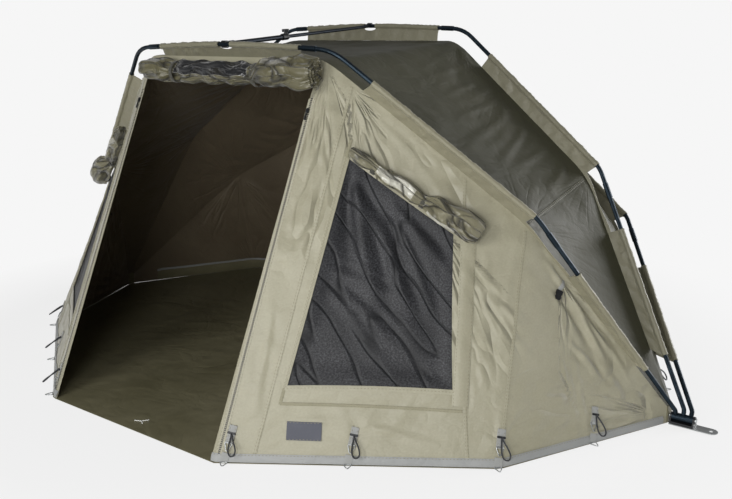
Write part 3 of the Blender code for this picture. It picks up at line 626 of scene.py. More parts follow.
@dataclass(frozen=True)
class Hardware(Surface):
    """Metal or moulded plastic: fine scratches or moulding grain, and rubbed places."""

    colour: str
    rubbed: str
    roughness: float
    metallic: float = 0.0
    grain_mm: float = 2.0
    relief: float = 0.12

    def shading(self, tree: Any) -> dict[str, Any]:
        """Rubbed patches and a fine grain.

        Args:
            tree: the material's nodes.

        Returns:
            The shader's inputs.
        """
        place = add_node(tree, "TexCoord").outputs["Object"]
        wear = add_node(tree, "TexNoise", {"Vector": place, "Scale": 14.0, "Detail": 6.0, "Roughness": 0.7})
        grain = add_node(tree, "TexNoise", {"Vector": place, "Scale": 1000.0 / self.grain_mm, "Detail": 2.0})
        low, high = self.roughness - 0.07, self.roughness + 0.1
        return {
            "Base Color": colour_between(tree, wear, (0.5, 0.78), self.colour, self.rubbed),
            "Roughness": add_node(tree, "MapRange", {0: wear, 1: 0.3, 2: 0.7, 3: low, 4: high}),
            "Normal": add_node(tree, "Bump", {"Height": grain, "Strength": self.relief, "Distance": 0.0003}),
            "Metallic": self.metallic,
        }


@dataclass(frozen=True)
class RolledCloth(Surface):
    """A cover rolled with its lining and its net: the "layer" attribute says which of the three lies outermost."""

    cloth: str
    lining: str
    net: str
    # Painted shade: the colour in the dips of the creases
    crease_shade: str

    def shading(self, tree: Any) -> dict[str, Any]:
        """Layer 0 is the olive cloth, 0.5 the grey coated side and 1 the dark net, with ragged edges, and creases
        painted dark as their shade.

        Args:
            tree: the material's nodes.

        Returns:
            The shader's inputs.
        """
        flat = add_node(tree, "TexCoord").outputs["UV"]
        layer = add_node(tree, "Attribute", attribute_name="layer").outputs["Fac"]
        edge = add_node(tree, "TexNoise", {"Vector": flat, "Scale": 26.0, "Detail": 3.0})
        ragged = add_node(tree, "Math", {0: edge, 1: 0.22, 2: layer}, operation="MULTIPLY_ADD")
        lined = colour_between(tree, ragged, (0.3, 0.42), self.cloth, self.lining)
        netted = colour_between(tree, ragged, (0.78, 0.9), lined, self.net)
        longer = add_node(tree, "Mapping", {"Vector": flat, "Scale": (0.55, 1.0, 1.0)})
        folds = {"Vector": longer, "Scale": 12.0, "Detail": 2.6, "Roughness": 0.5, "Distortion": 0.7}
        dip = crease_lines(tree, add_node(tree, "TexNoise", folds), 0.002, 0.1)
        return {
            # Painted shade: the colour goes dark towards the crease colour in the dips of the folds
            "Base Color": colour_between(tree, dip, (0.0, 0.5, 0.08, 1.0), self.crease_shade, netted),
            "Roughness": add_node(tree, "MapRange", {0: ragged, 1: 0.3, 2: 0.45, 3: 0.38, 4: 0.22}),
            "Normal": add_node(tree, "Bump", {"Height": dip, "Strength": 1.0, "Distance": 0.010}),
            "Sheen Weight": 0.2,
            "Sheen Roughness": 0.4,
        }


@dataclass(frozen=True)
class Webbing(Surface):
    """Woven strap or cord sheath: ribs across its length, matt. The ribs are drawn coarser than the real 0.5 mm."""

    colour: str
    rib: str
    pitch_mm: float = 1.885
    roughness: float = 0.7

    def shading(self, tree: Any) -> dict[str, Any]:
        """Ribs along the piece's UV.

        Args:
            tree: the material's nodes.

        Returns:
            The shader's inputs.
        """
        flat = add_node(tree, "TexCoord").outputs["UV"]
        waves = {"Vector": flat, "Scale": 1000.0 * WAVE_PERIOD / self.pitch_mm, "Distortion": 0.3}
        ribs = add_node(tree, "TexWave", waves, bands_direction="X").outputs["Fac"]
        return {
            "Base Color": add_node(tree, "Mix", {0: ribs, 6: self.colour, 7: self.rib}, data_type="RGBA"),
            "Normal": add_node(tree, "Bump", {"Height": ribs, "Strength": 0.4, "Distance": 0.0005}),
            "Roughness": self.roughness,
            "Sheen Weight": 0.2,
        }


class Finish(Enum):
    """Every finish of the tent."""

    # Polyester, woven and coated, dyed light olive: bright where it faces the light, with glossy fold edges
    WALL = WovenCloth("polyester_cloth_woven_wall", "#9A9680", "#A5A18C", 0.46, 0.3, 0.22)
    # The same cloth as the walls, painted darker on the roof bays: painted shade of the roof, which faces up away from
    # the light
    ROOF = WovenCloth("polyester_cloth_woven_roof", "#363625", "#403F2E", 0.62, 0.02, 0.26, pulled=0.16)
    # Polyester with a dark coating on the inside: dull brown
    LINING = WovenCloth("polyester_cloth_coated_inside", "#655A49", "#716653", 0.45, 0.1, 0.3, pulled=0.35)
    # Sleeve cloth, doubled, a little paler than the walls
    SLEEVE = WovenCloth("polyester_cloth_doubled_sleeve", "#767361", "#807D69", 0.5, 0.25, 0.4)
    # The front rib's side sleeves, cut from the wall cloth and painted darker than it: painted shade, set between the
    # lit right-hand sleeve and the shaded left one
    FRONT_SLEEVE = WovenCloth("polyester_cloth_doubled_front_sleeve", "#837F6A", "#8E8A74", 0.5, 0.2, 0.4)
    # Knitted black net, with grey glints
    NET = Netting("polyester_netting_knitted", "#121315", "#4A4A4E")
    # Polyethylene sheet, laminated: deep olive brown with a soft shine
    GROUND = CoatedSheet("polyethylene_sheet_laminated", "#6A664E", "#807B62", 0.42, 0.45, 208.0)
    # Polyvinyl strip, calendered: pale grey and smooth
    BAND = CoatedSheet("polyvinyl_strip_calendered", "#919392", "#9FA09E", 0.45, 0.25)
    # Wall cloth rolled with its coated inside and its net, in two painted copies: the door's roll painted darker as
    # painted shade, the covers' rolls painted paler as painted light
    DOOR_ROLL = RolledCloth("polyester_cloth_rolled_door", "#5B573F", "#85837A", "#17181A", "#1A1810")
    COVER_ROLL = RolledCloth("polyester_cloth_rolled_cover", "#77735D", "#BAB8AB", "#1C1D1E", "#211F16")
    # Anodised alloy: blue-black, satin, rubbed paler
    POLE = Hardware("aluminium_anodised_pole", "#1B2730", "#33414C", 0.4, 0.75, 1.5)
    BAR = Hardware("aluminium_anodised_bar", "#181E26", "#2B343F", 0.38, 0.75, 1.5)
    # Zinc plated steel: bright grey, slightly cloudy
    STEEL = Hardware("steel_zinc_plated", "#AEB1B1", "#8D9090", 0.34, 1.0, 3.0)
    # Moulded nylon: black, fine grained
    NYLON = Hardware("nylon_moulded", "#15171A", "#24272B", 0.5, 0.0, 1.2, 0.2)
    STRAP = Webbing("polypropylene_webbing_woven", "#8D8E8C", "#A7A8A5")
    PALE_STRAP = Webbing("polyester_tape_woven_white", "#D8D8D2", "#EEEEEA")
    DARK_STRAP = Webbing("polyester_tape_woven_dark", "#33322A", "#45443A")
    ELASTIC = Webbing("elastic_cord_braided", "#16171A", "#2A2C30", 1.508, 0.6)
    THREAD = Webbing("polyester_thread_twisted", "#858169", "#938F78", 0.9425, 0.55)
    # Moulded rubber patch, left plain: slate grey, matt
    PATCH = Hardware("rubber_patch_moulded", "#4C4E58", "#5A5C66", 0.6, 0.0, 1.6, 0.3)
    # Zip tape: the wall's cloth, a little darker
    TAPE = WovenCloth("polyester_tape_woven_zip", "#8C8870", "#96927B", 0.6, 0.2, 0.1)
    # Hem of the door, of a thinner cloth painted paler than the wall: a painted highlight along the door's edges
    HEM_PAINTED_HIGHLIGHT = WovenCloth("polyester_cloth_woven_hem", "#A19D89", "#AAA693", 0.55, 0.25, 0.25)

    @cached_property
    def made(self) -> bpy.types.Material:
        """The material, made once."""
        return self.value.material()


# Cloth as grids of points


@dataclass(frozen=True)
class Fan:
    """Folds that spread from a place where the cloth is pulled.

    Directions are degrees in the flat cloth: 0 runs along the seam to the right and 90 up.
    """

    origin: Pair
    directions: Pair
    count: int
    reach: Pair
    width: float
    height: float
    seed: int

    @classmethod
    def on_side(cls, side: int, rows: Sequence[tuple], seed: int) -> list["Fan"]:
        """The fans on one side of the tent, from a table for its right-hand side.

        Args:
            side: 1 for the right and -1 for the left.
            rows: for each fan its place u and v, a way and two turns from it, then the next four fields.
            seed: the first fan's; each next fan has the next number.

        Returns:
            The fans.
        """
        return [
            cls((u * side, v), (way + side * low, way + side * high), *others, seed + number)
            for number, (u, v, way, low, high, *others) in enumerate(rows)
        ]


@dataclass(frozen=True)
class Fold:
    """One fold between two places of the cloth."""

    start: Pair
    end: Pair
    width: float
    height: float

    @classmethod
    def on_side(cls, side: int, rows: Sequence[tuple]) -> list["Fold"]:
        """The folds on one side of the tent, from a table of both places, width and height for its right-hand side."""
        return [cls((a * side, b), (c * side, d), width, height) for a, b, c, d, width, height in rows]


@dataclass
class ClothGrid:
    """A net of points on the middle of a cloth. Columns have places u and rows have places v."""

    columns: Points
    rows: Points
    points: Points
    keep: Points
    flat: Points = field(init=False)
    pull: Points | None = None
    unwarp: Callable[[Points, Points], tuple] | None = None

    def __post_init__(self) -> None:
        """Measures the flat cloth, in metres: along the middle row, and up each column."""
        middle = self.points[len(self.rows) // 2]
        along = np.broadcast_to(running_length(middle), self.points.shape[:2])
        steps = np.linalg.norm(np.diff(self.points, axis=0), axis=2)
        up = np.vstack([np.zeros((1, steps.shape[1])), np.cumsum(steps, axis=0)])
        self.flat = np.stack([along, up], axis=-1)

    @classmethod
    def spanned(
        cls, low: Edge, high: Edge, columns: Points, rows: Points, warp: Callable[[Points, Points], tuple] | None = None
    ) -> "ClothGrid":
        """A cloth stretched between two edges.

        Args:
            low: the edge at row place 0.
            high: the edge at row place 1.
            columns: the column places.
            rows: the row places.
            warp: moves (u, v) places before they are looked up, so that cells follow an opening.

        Returns:
            The grid, with every cell kept.
        """
        u, v = np.meshgrid(columns, rows)
        if warp:
            u, v = warp(u, v)
        shape = u.shape
        bottom = low.at(u.ravel()).reshape(*shape, 3)
        top = high.at(u.ravel()).reshape(*shape, 3)
        points = bottom + (top - bottom) * v[..., None]
        return cls(columns, rows, points, np.ones((shape[0] - 1, shape[1] - 1), bool))

    def normals(self) -> Points:
        """The outward direction at each point: away from the tent's middle."""
        along = np.gradient(self.points, axis=1)
        up = np.gradient(self.points, axis=0)
        normal = unit(np.cross(along, up))
        centre = np.array([0.0, 0.0, 0.45])
        middle = (len(self.rows) // 2, len(self.columns) // 2)
        return normal * (1.0 if normal[middle] @ (self.points[middle] - centre) > 0 else -1.0)

    def index(self, places: Points) -> tuple[Points, Points]:
        """Grid places as fractional column and row numbers.

        Args:
            places: (u, v) places.

        Returns:
            The column numbers and the row numbers.
        """
        u, v = places[:, 0], places[:, 1]
        if self.unwarp:
            u, v = self.unwarp(u, v)
        column = np.interp(u, self.columns, np.arange(len(self.columns)))
        row = np.interp(v, self.rows, np.arange(len(self.rows)))
        return column, row

    def lookup(self, values: Points, column: Points, row: Points) -> Points:
        """Any grid of values at fractional column and row numbers.

        Args:
            values: one value or vector for each grid point.
            column: fractional column numbers.
            row: fractional row numbers.

        Returns:
            The values there.
        """
        c = np.clip(column.astype(int), 0, len(self.columns) - 2)
        r = np.clip(row.astype(int), 0, len(self.rows) - 2)
        a, b = (column - c)[:, None], (row - r)[:, None]
        low = values[r, c] * (1 - a) + values[r, c + 1] * a
        high = values[r + 1, c] * (1 - a) + values[r + 1, c + 1] * a
        return low * (1 - b) + high * b

    def sample(self, values: Points, places: Points) -> Points:
        """Any grid of values at (u, v) places, between the points."""
        return self.lookup(values, *self.index(places))

    def beside(self, path: Sequence[Pair], offsets: Sequence[float], cell: float = 0.011) -> tuple[Points, Points]:
        """Points of the cloth along a path, and to both sides of it.

        Args:
            path: the (u, v) places of its corners.
            offsets: distances to the side, in metres.
            cell: the step along the path.

        Returns:
            The points and the outward directions, each (offsets, steps, 3).
        """
        fine = np.linspace(0, len(path) - 1, 240 * (len(path) - 1) + 1)
        places = np.stack([np.interp(fine, np.arange(len(path)), axis) for axis in np.array(path).T], axis=1)
        column, row = self.index(places)
        run = running_length(self.lookup(self.points, column, row))
        steps = np.linspace(0, run[-1], max(int(round(run[-1] / cell)), 2) + 1)
        column, row = np.interp(steps, run, column), np.interp(steps, run, row)
        normals = self.normals()
        centre, normal, right, up = (
            self.lookup(values, column, row)
            for values in (self.points, normals, np.gradient(self.points, axis=1), np.gradient(self.points, axis=0))
        )
        across = unit(np.cross(normal, np.gradient(centre, axis=0)))
        reach = min(7, len(steps) // 2)
        padded = np.pad(across, ((reach, reach), (0, 0)), mode="edge")
        across = sum(padded[k : k + len(steps)] for k in range(2 * reach + 1)) / (2 * reach + 1)
        a, b, c = ((first * second).sum(axis=1) for first, second in ((right, right), (right, up), (up, up)))
        d, e = (right * across).sum(axis=1), (up * across).sum(axis=1)
        spread = a * c - b * b
        to_column, to_row = (c * d - b * e) / spread, (a * e - b * d) / spread
        moved = [(column + to_column * offset, row + to_row * offset) for offset in offsets]
        found = [self.lookup(self.points, *place) for place in moved]
        return np.array(found), np.array([unit(self.lookup(normals, *place)) for place in moved])

    def pulls(self, fans: Sequence[Fan]) -> Points:
        """What the cloth's fine creases follow: the angle and the distance from where it is pulled, and how hard.

        Args:
            fans: where the cloth is pulled.

        Returns:
            A vector for each grid point.
        """
        places, strengths = [], []
        for number, fan in enumerate(fans):
            origin = self.sample(self.flat, np.array([fan.origin]))[0]
            offset = self.flat - origin
            distance = np.hypot(offset[..., 0], offset[..., 1])
            middle = math.radians(sum(fan.directions) / 2)
            spread = math.radians(abs(fan.directions[1] - fan.directions[0]) / 2)
            angle = np.arctan2(offset[..., 1], offset[..., 0]) - middle
            angle = (angle + math.pi) % (2 * math.pi) - math.pi
            inside = ease((1.25 * spread - np.abs(angle)) / (0.45 * spread))
            fade = ease(1.15 - distance / fan.reach[1]) * ease((distance - 0.015) / 0.12)
            strengths.append(inside * fade)
            places.append(np.stack([0.3 * angle + 4.0 * number, 0.22 * distance], axis=-1))
        order = np.sort(np.array(strengths), axis=0)
        best = np.argmax(np.array(strengths), axis=0)
        place = np.take_along_axis(np.array(places), best[None, ..., None], axis=0)[0]
        strength = np.clip((order[-1] - (order[-2] if len(fans) > 1 else 0.0)) * 2.5, 0.0, 1.0)
        return np.concatenate([place, strength[..., None]], axis=-1)

    def fold_heights(self, folds: Iterable[Fold], fans: Iterable[Fan]) -> Points:
        """How far the folds lift each point off the smooth cloth.

        Args:
            folds: single folds.
            fans: groups of folds.

        Returns:
            A height in metres for each grid point.
        """
        heights = np.zeros(self.points.shape[:2])
        for fold in folds:
            ends = self.sample(self.flat, np.array([fold.start, fold.end]))
            heights += self._ridge(ends[0], ends[1], fold.width, fold.height, 0.0)
        for fan in fans:
            rng = np.random.default_rng(fan.seed)
            origin = self.sample(self.flat, np.array([fan.origin]))[0]
            low, high = fan.directions
            for number in range(fan.count):
                share = (number + rng.uniform(0.2, 0.8)) / fan.count
                angle = math.radians(low + (high - low) * share)
                reach = rng.uniform(*fan.reach)
                heading = np.array([math.cos(angle), math.sin(angle)])
                start = origin + heading * rng.uniform(0.0, 0.12) * reach
                height = 1.6 * fan.height * rng.uniform(0.4, 1.0) * (1 if rng.uniform() < 0.7 else -0.8)
                width = fan.width * rng.uniform(0.7, 1.4)
                heights += self._ridge(start, start + heading * reach, width, height, rng.uniform(0, ROUGH_TURN))
        return heights

    def _ridge(self, start: Points, end: Points, width: float, height: float, phase: float) -> Points:
        """One fold's height: narrow where it starts, wider and lower where it runs out.

        Args:
            start: the flat place where it starts.
            end: the flat place where it runs out.
            width: in metres.
            height: in metres.
            phase: of its bends.

        Returns:
            A height for each grid point.
        """
        axis = end - start
        length = float(np.linalg.norm(axis))
        offset = self.flat - start
        share = offset @ axis / length**2
        across = (offset[..., 0] * axis[1] - offset[..., 1] * axis[0]) / length
        across = across + 0.35 * width * np.sin(share * 7.0 + phase)
        reach = width * (0.65 + 0.6 * np.clip(share, 0, 1))
        taper = ease(share / 0.14) * ease((1.0 - share) / 0.7)
        x = across / reach
        return height * taper * (np.exp(-x * x) - 0.5 * np.exp(-((x / 2.1) ** 2)))

    def crumple(self, size: float, height: float, seed: int, waves: int = 26) -> Points:
        """Soft random creases of about one size.

        Args:
            size: of a crease, in metres.
            height: of a crease, in metres.
            seed: of the random draws.
            waves: how many are summed.

        Returns:
            A height for each grid point.
        """
        rng = np.random.default_rng(seed)
        total = np.zeros(self.points.shape[:2])
        for _ in range(waves):
            angle, phase = rng.uniform(0, math.pi), rng.uniform(0, 2 * math.pi)
            length = size * rng.uniform(0.7, 2.4)
            heading = np.array([math.cos(angle), math.sin(angle)])
            side = np.array([-heading[1], heading[0]])
            bend = 0.9 * np.sin(self.flat @ side / (1.7 * size) * 2 * math.pi + phase)
            total += np.sin(self.flat @ heading / length * 2 * math.pi + phase + bend)
        ridged = 1.0 - np.abs(total / math.sqrt(waves / 2.0))
        return height * ridged

    def hem_mask(self, margin: float = 0.02) -> Points:
        """1 inside the cloth and 0 at its low and high edges, where it is sewn down.

        Args:
            margin: how far the edges reach in.

        Returns:
            A share for each grid point.
        """
        top = self.flat[-1:, :, 1]
        distance = np.minimum(self.flat[..., 1], top - self.flat[..., 1])
        return ease(distance / margin)

    def displaced(self, heights: Points) -> "ClothGrid":
        """The same cloth with each point moved along its normal, its steepest creases softened.

        Args:
            heights: how far to move each point, in metres.

        Returns:
            The moved cloth.
        """
        for _ in range(2):
            padded = np.pad(heights, 1, mode="edge")
            beside = padded[1:-1, :-2] + padded[1:-1, 2:] + padded[:-2, 1:-1] + padded[2:, 1:-1]
            heights = 0.5 * heights + 0.125 * beside
        moved = ClothGrid(self.columns, self.rows, self.points + self.normals() * heights[..., None], self.keep)
        moved.flat, moved.pull = self.flat, self.pull
        return moved

    def cut(self, low: Pair, high: Pair) -> None:
        """Takes out the cells between two (u, v) corners.

        Args:
            low: the lower corner.
            high: the upper corner.
        """
        u = (self.columns[1:] + self.columns[:-1]) / 2
        v = (self.rows[1:] + self.rows[:-1]) / 2
        inside = ((u > low[0]) & (u < high[0]))[None, :] & ((v > low[1]) & (v < high[1]))[:, None]
        self.keep &= ~inside

    def measure(self) -> tuple[Pair, float]:
        """The flat cloth's width and length in metres, and the area of the kept cells in square metres."""
        p = self.points
        first = np.linalg.norm(np.cross(p[:-1, 1:] - p[:-1, :-1], p[1:, :-1] - p[:-1, :-1]), axis=-1)
        second = np.linalg.norm(np.cross(p[:-1, 1:] - p[1:, 1:], p[1:, :-1] - p[1:, 1:]), axis=-1)
        area = float(((first + second) / 2)[self.keep].sum())
        return (float(self.flat[0, -1, 0]), float(self.flat[-1, :, 1].max())), round(area, 3)

    def mesh(self, name: str, thickness: float = CLOTH_THICKNESS) -> bpy.types.Mesh:
        """The closed two-layer mesh: outer face on slot 0, inner face on slot 1.

        Args:
            name: the mesh's name.
            thickness: of the cloth, in metres.

        Returns:
            The mesh.
        """
        rows, columns = self.points.shape[:2]
        normals = self.normals() * thickness / 2
        vertices = np.concatenate([(self.points + normals).reshape(-1, 3), (self.points - normals).reshape(-1, 3)])
        count = rows * columns
        index = np.arange(count).reshape(rows, columns)
        along = self.points[0, 1] - self.points[0, 0]
        up = self.points[1, 0] - self.points[0, 0]
        turned = np.cross(along, up) @ normals[0, 0] < 0
        outer = quads(index)[self.keep.ravel()]
        if turned:
            outer = outer[:, ::-1]
        rims = []
        padded = np.pad(self.keep, 1)
        corners = [index[:-1, :-1], index[:-1, 1:], index[1:, 1:], index[1:, :-1]]
        for down, across, first, second in ((0, 1, 0, 1), (1, 2, 1, 2), (2, 1, 2, 3), (1, 0, 3, 0)):
            edge = self.keep & ~padded[down : down + rows - 1, across : across + columns - 1]
            start, end = corners[first][edge], corners[second][edge]
            if turned:
                start, end = end, start
            rims.append(np.stack([start, start + count, end + count, end], axis=1))
        rim = np.concatenate(rims)
        faces = np.concatenate([outer, outer[:, ::-1] + count, rim])
        slots = np.repeat([0, 1, 0], [len(outer), len(outer), len(rim)])
        uv = np.concatenate([self.flat.reshape(-1, 2)] * 2)
        pull = None if self.pull is None else np.concatenate([self.pull.reshape(-1, 3)] * 2)
        return mesh_from_arrays(name, vertices, faces, slots, uv, pull)


def quads(index: Points, closed: Sequence[int] = ()) -> Points:
    """The cells of a grid of point numbers.

    Args:
        index: the point numbers, (rows, columns).
        closed: the axes on which the last points join up with the first.

    Returns:
        Four point numbers a cell, (n, 4).
    """
    for axis in closed:
        index = np.concatenate([index, index.take([0], axis=axis)], axis=axis)
    return np.stack([index[:-1, :-1], index[:-1, 1:], index[1:, 1:], index[1:, :-1]], axis=-1).reshape(-1, 4)


def flat_places(along: Points, around: Points) -> Points:
    """The flat places of a grid's points, from the distances along it and around it."""
    return np.stack(np.broadcast_arrays(along[:, None], around[None, :]), axis=-1).reshape(-1, 2)


def set_attribute(mesh: bpy.types.Mesh, name: str, values: Points) -> None:
    """Stores a number or a vector for each point of a mesh."""
    kind, member = ("FLOAT", "value") if values.ndim == 1 else ("FLOAT_VECTOR", "vector")
    mesh.attributes.new(name, kind, "POINT").data.foreach_set(member, values.astype(np.float32).ravel())


def link_object(name: str, data: Any) -> bpy.types.Object:
    """Puts a new object in the scene.

    Args:
        name: the object's name.
        data: its mesh, camera or lamp.

    Returns:
        The object.
    """
    obj = bpy.data.objects.new(name, data)
    bpy.context.scene.collection.objects.link(obj)
    return obj


def mesh_from_arrays(
    name: str,
    vertices: Points,
    faces: Points,
    slots: Points | None = None,
    uv: Points | None = None,
    pull: Points | None = None,
) -> bpy.types.Mesh:
    """A smooth mesh from quads, without loose points.

    Args:
        name: the mesh's name.
        vertices: the points.
        faces: four point numbers a face.
        slots: each face's material slot.
        uv: each point's flat place, in metres.
        pull: what each point's fine creases follow.

    Returns:
        The mesh.
    """
    used, inverse = np.unique(faces, return_inverse=True)
    faces = inverse.reshape(faces.shape)
    vertices = vertices[used]
    mesh = bpy.data.meshes.new(name)
    mesh.vertices.add(len(vertices))
    mesh.vertices.foreach_set("co", vertices.astype(np.float32).ravel())
    mesh.loops.add(faces.size)
    mesh.loops.foreach_set("vertex_index", faces.astype(np.int32).ravel())
    mesh.polygons.add(len(faces))
    mesh.polygons.foreach_set("loop_start", np.arange(0, faces.size, 4, dtype=np.int32))
    if slots is not None:
        mesh.polygons.foreach_set("material_index", slots.astype(np.int32))
    mesh.update(calc_edges=True)
    mesh.validate()
    if uv is not None:
        layer = mesh.uv_layers.new(name="flat")
        layer.data.foreach_set("uv", uv[used][faces.ravel()].astype(np.float32).ravel())
    if pull is not None:
        set_attribute(mesh, "pull", pull[used])
    mesh.shade_smooth()
    mesh.set_sharp_from_angle(angle=math.radians(62))
    return mesh


def join_meshes(name: str, meshes: Sequence[bpy.types.Mesh]) -> bpy.types.Mesh:
    """Several meshes as one, keeping their slots, UVs and sharp edges.

    Args:
        name: the new mesh's name.
        meshes: the ones to join.

    Returns:
        The joined mesh.
    """
    objects = [link_object(f"{name}_{number}", mesh) for number, mesh in enumerate(meshes)]
    with bpy.context.temp_override(active_object=objects[0], selected_editable_objects=objects):
        bpy.ops.object.join()
    joined = objects[0].data
    bpy.data.objects.remove(objects[0], do_unlink=True)
    joined.name = name
    return joined


def add_piece(
    name: str,
    mesh: bpy.types.Mesh,
    finishes: Sequence[Finish],
    hang: Hang,
    nodes: Sequence[str] = (),
) -> bpy.types.Object:
    """Puts a finished mesh in the scene.

    Args:
        name: the piece's name.
        mesh: its mesh, in the tent's frame.
        finishes: its material slots.
        hang: what it moves with.
        nodes: the CAD nodes that it stands for.

    Returns:
        The object.
    """
    mesh.name = name
    if not mesh.materials:
        for finish in finishes:
            mesh.materials.append(finish.made)
    obj = link_object(name, mesh)
    hang.attach(obj)
    if nodes:
        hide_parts(*nodes)
    log.info("%s: %d faces, moves with %s %s", name, len(mesh.polygons), hang.first, hang.second)
    return obj


def column_places(edges: Sequence[Edge], cell: float, stops: Sequence[float]) -> Points:
    """Column places between stops, so that no cell is wider than asked on the longest edge.

    Args:
        edges: the edges that the columns run between.
        cell: the widest cell, in metres.
        stops: places that get a column.

    Returns:
        The column places.
    """
    found = [stops[0]]
    for start, end in zip(stops, stops[1:]):
        length = max(np.linalg.norm(edge.raw(np.array([end])) - edge.raw(np.array([start]))) for edge in edges)
        count = max(int(math.ceil(length / cell)), 1)
        found.extend(np.linspace(start, end, count + 1)[1:])
    return np.array(found)




# Small parts that repeat along seams


class RepeatShape(Enum):
    """What a row repeats: a rounded stitch or a square tooth."""

    STITCH = "GeometryNodeMeshIcoSphere"
    TOOTH = "GeometryNodeMeshCube"


@dataclass(frozen=True)
class RepeatedRow:
    """A Geometry Nodes tree that sets one small shape at even steps along paths, turned up from the cloth."""

    name: str
    shape: RepeatShape
    pitch: float
    length: float
    width: float
    height: float
    finish: Finish

    @cached_property
    def sizes(self) -> dict[str, float]:
        """The tree's size inputs."""
        return {"Pitch": self.pitch, "Length": self.length, "Width": self.width, "Height": self.height}

    @cached_property
    def tree(self) -> bpy.types.NodeTree:
        """The tree, with its sizes and its finish as named inputs."""
        tree = bpy.data.node_groups.new(self.name, "GeometryNodeTree")
        tree.is_modifier = True
        floats = [(label, "NodeSocketFloat") for label in self.sizes]
        for label, kind in [("Paths", "NodeSocketGeometry"), *floats, ("Finish", "NodeSocketMaterial")]:
            tree.interface.new_socket(label, in_out="INPUT", socket_type=kind)
        tree.interface.new_socket("Row", in_out="OUTPUT", socket_type="NodeSocketGeometry")
        given = add_node(tree, "NodeGroupInput").outputs
        curve = add_node(tree, "GeometryNodeMeshToCurve", {"Mesh": given["Paths"]})
        steps = add_node(tree, "GeometryNodeResampleCurve", {"Curve": curve, "Length": given["Pitch"]}, mode="LENGTH")
        lift = add_node(tree, "GeometryNodeInputNamedAttribute", {"Name": "lift"}, data_type="FLOAT_VECTOR")
        ways = {"Primary Axis": lift, "Secondary Axis": add_node(tree, "GeometryNodeInputTangent")}
        turn = add_node(tree, "FunctionNodeAxesToRotation", ways, primary_axis="Z", secondary_axis="X")
        size = add_node(tree, "CombineXYZ", {"X": given["Length"], "Y": given["Width"], "Z": given["Height"]})
        unit_sizes = {"Radius": 0.5, "Subdivisions": 1} if self.shape is RepeatShape.STITCH else {"Size": (1, 1, 1)}
        shape = add_node(tree, self.shape.value, unit_sizes)
        placing = {"Points": steps, "Instance": shape, "Rotation": turn, "Scale": size}
        placed = add_node(tree, "GeometryNodeInstanceOnPoints", placing)
        real = add_node(tree, "GeometryNodeRealizeInstances", {"Geometry": placed})
        painted = add_node(tree, "GeometryNodeSetMaterial", {"Geometry": real, "Material": given["Finish"]})
        add_node(tree, "NodeGroupOutput", {"Row": painted})
        return tree

    def along(self, paths: Sequence[tuple[Points, Points]]) -> bpy.types.Mesh:
        """The shapes along some paths, as one plain mesh.

        Args:
            paths: each path's points and its outward directions.

        Returns:
            The mesh.
        """
        edges: list[tuple[int, int]] = []
        count = 0
        for points, _ in paths:
            edges += [(count + step, count + step + 1) for step in range(len(points) - 1)]
            count += len(points)
        mesh = bpy.data.meshes.new(self.name)
        mesh.from_pydata(np.concatenate([points for points, _ in paths]).tolist(), edges, [])
        set_attribute(mesh, "lift", np.concatenate([lifts for _, lifts in paths]))
        obj = link_object(self.name, mesh)
        modifier = obj.modifiers.new("row", "NODES")
        modifier.node_group = self.tree
        values = {**self.sizes, "Finish": self.finish.made}
        for item in self.tree.interface.items_tree:
            if item.name in values:
                modifier[item.identifier] = values[item.name]
        graph = bpy.context.evaluated_depsgraph_get()
        result = bpy.data.meshes.new_from_object(obj.evaluated_get(graph))
        obj.modifiers.clear()
        bpy.data.objects.remove(obj, do_unlink=True)
        return result


# Real stitches are 3 mm long and 0.5 mm thick, which is too fine to show, so they are drawn at twice that
STITCHES = RepeatedRow("stitches", RepeatShape.STITCH, 0.011, 0.0072, 0.0018, 0.0014, Finish.THREAD)
# Coil teeth, drawn at 6 mm because the real 2.5 mm is too fine to show
ZIP_TEETH = RepeatedRow("zip_teeth", RepeatShape.TOOTH, 0.006, 0.0032, 0.0062, 0.0022, Finish.NYLON)


@dataclass(frozen=True)
class Sewing:
    """How a strip is sewn on a cloth.

    The lift is how far it lies off the cloth's middle, below 0 on the inside, and the bulge how far its middle stands
    up. Rows of stitches run at the stitched places, from -1 at one edge to 1 at the other.
    """

    lift: float = 0.0010
    thickness: float = 0.0014
    bulge: float = 0.0
    stitched: Sequence[float] = ()


FELLED_SEAM = Sewing(0.0008, 0.0010, 0.0012, (-0.6, 0.6))
INSIDE_TAPE = Sewing(-0.0010, 0.0010, 0.0014)
GROUND_BAND = Sewing(0.0012, 0.0016, 0.002, (0.72,))
INSIDE_BINDING = Sewing(-0.006, 0.0016, 0.002)
INSIDE_UPSTAND = Sewing(-0.0014, 0.0014, 0.004)
DOOR_ZIP_TAPE = Sewing(0.0005, 0.0006, 0.0, (-0.85, 0.85))
COVER_ZIP_TAPE = Sewing(0.0010, 0.0010, 0.0014, (-0.7, 0.7))
WINDOW_FRAME = Sewing(0.0010, 0.0014, 0.001, (0.0,))
WINDOW_FLAP = Sewing(0.0014, 0.0016, 0.004, (-0.85, 0.85))
PLAIN_PATCH = Sewing(0.0008, 0.0026, 0.0, (-0.9, 0.9))
BUCKLE_TAPE = Sewing(0.0012, 0.0016, 0.002)
PEG_TAPE = Sewing(0.0016, 0.0026, 0.001, (-0.7, 0.7))
PEG_TAPE_END = Sewing(0.004, 0.0022)


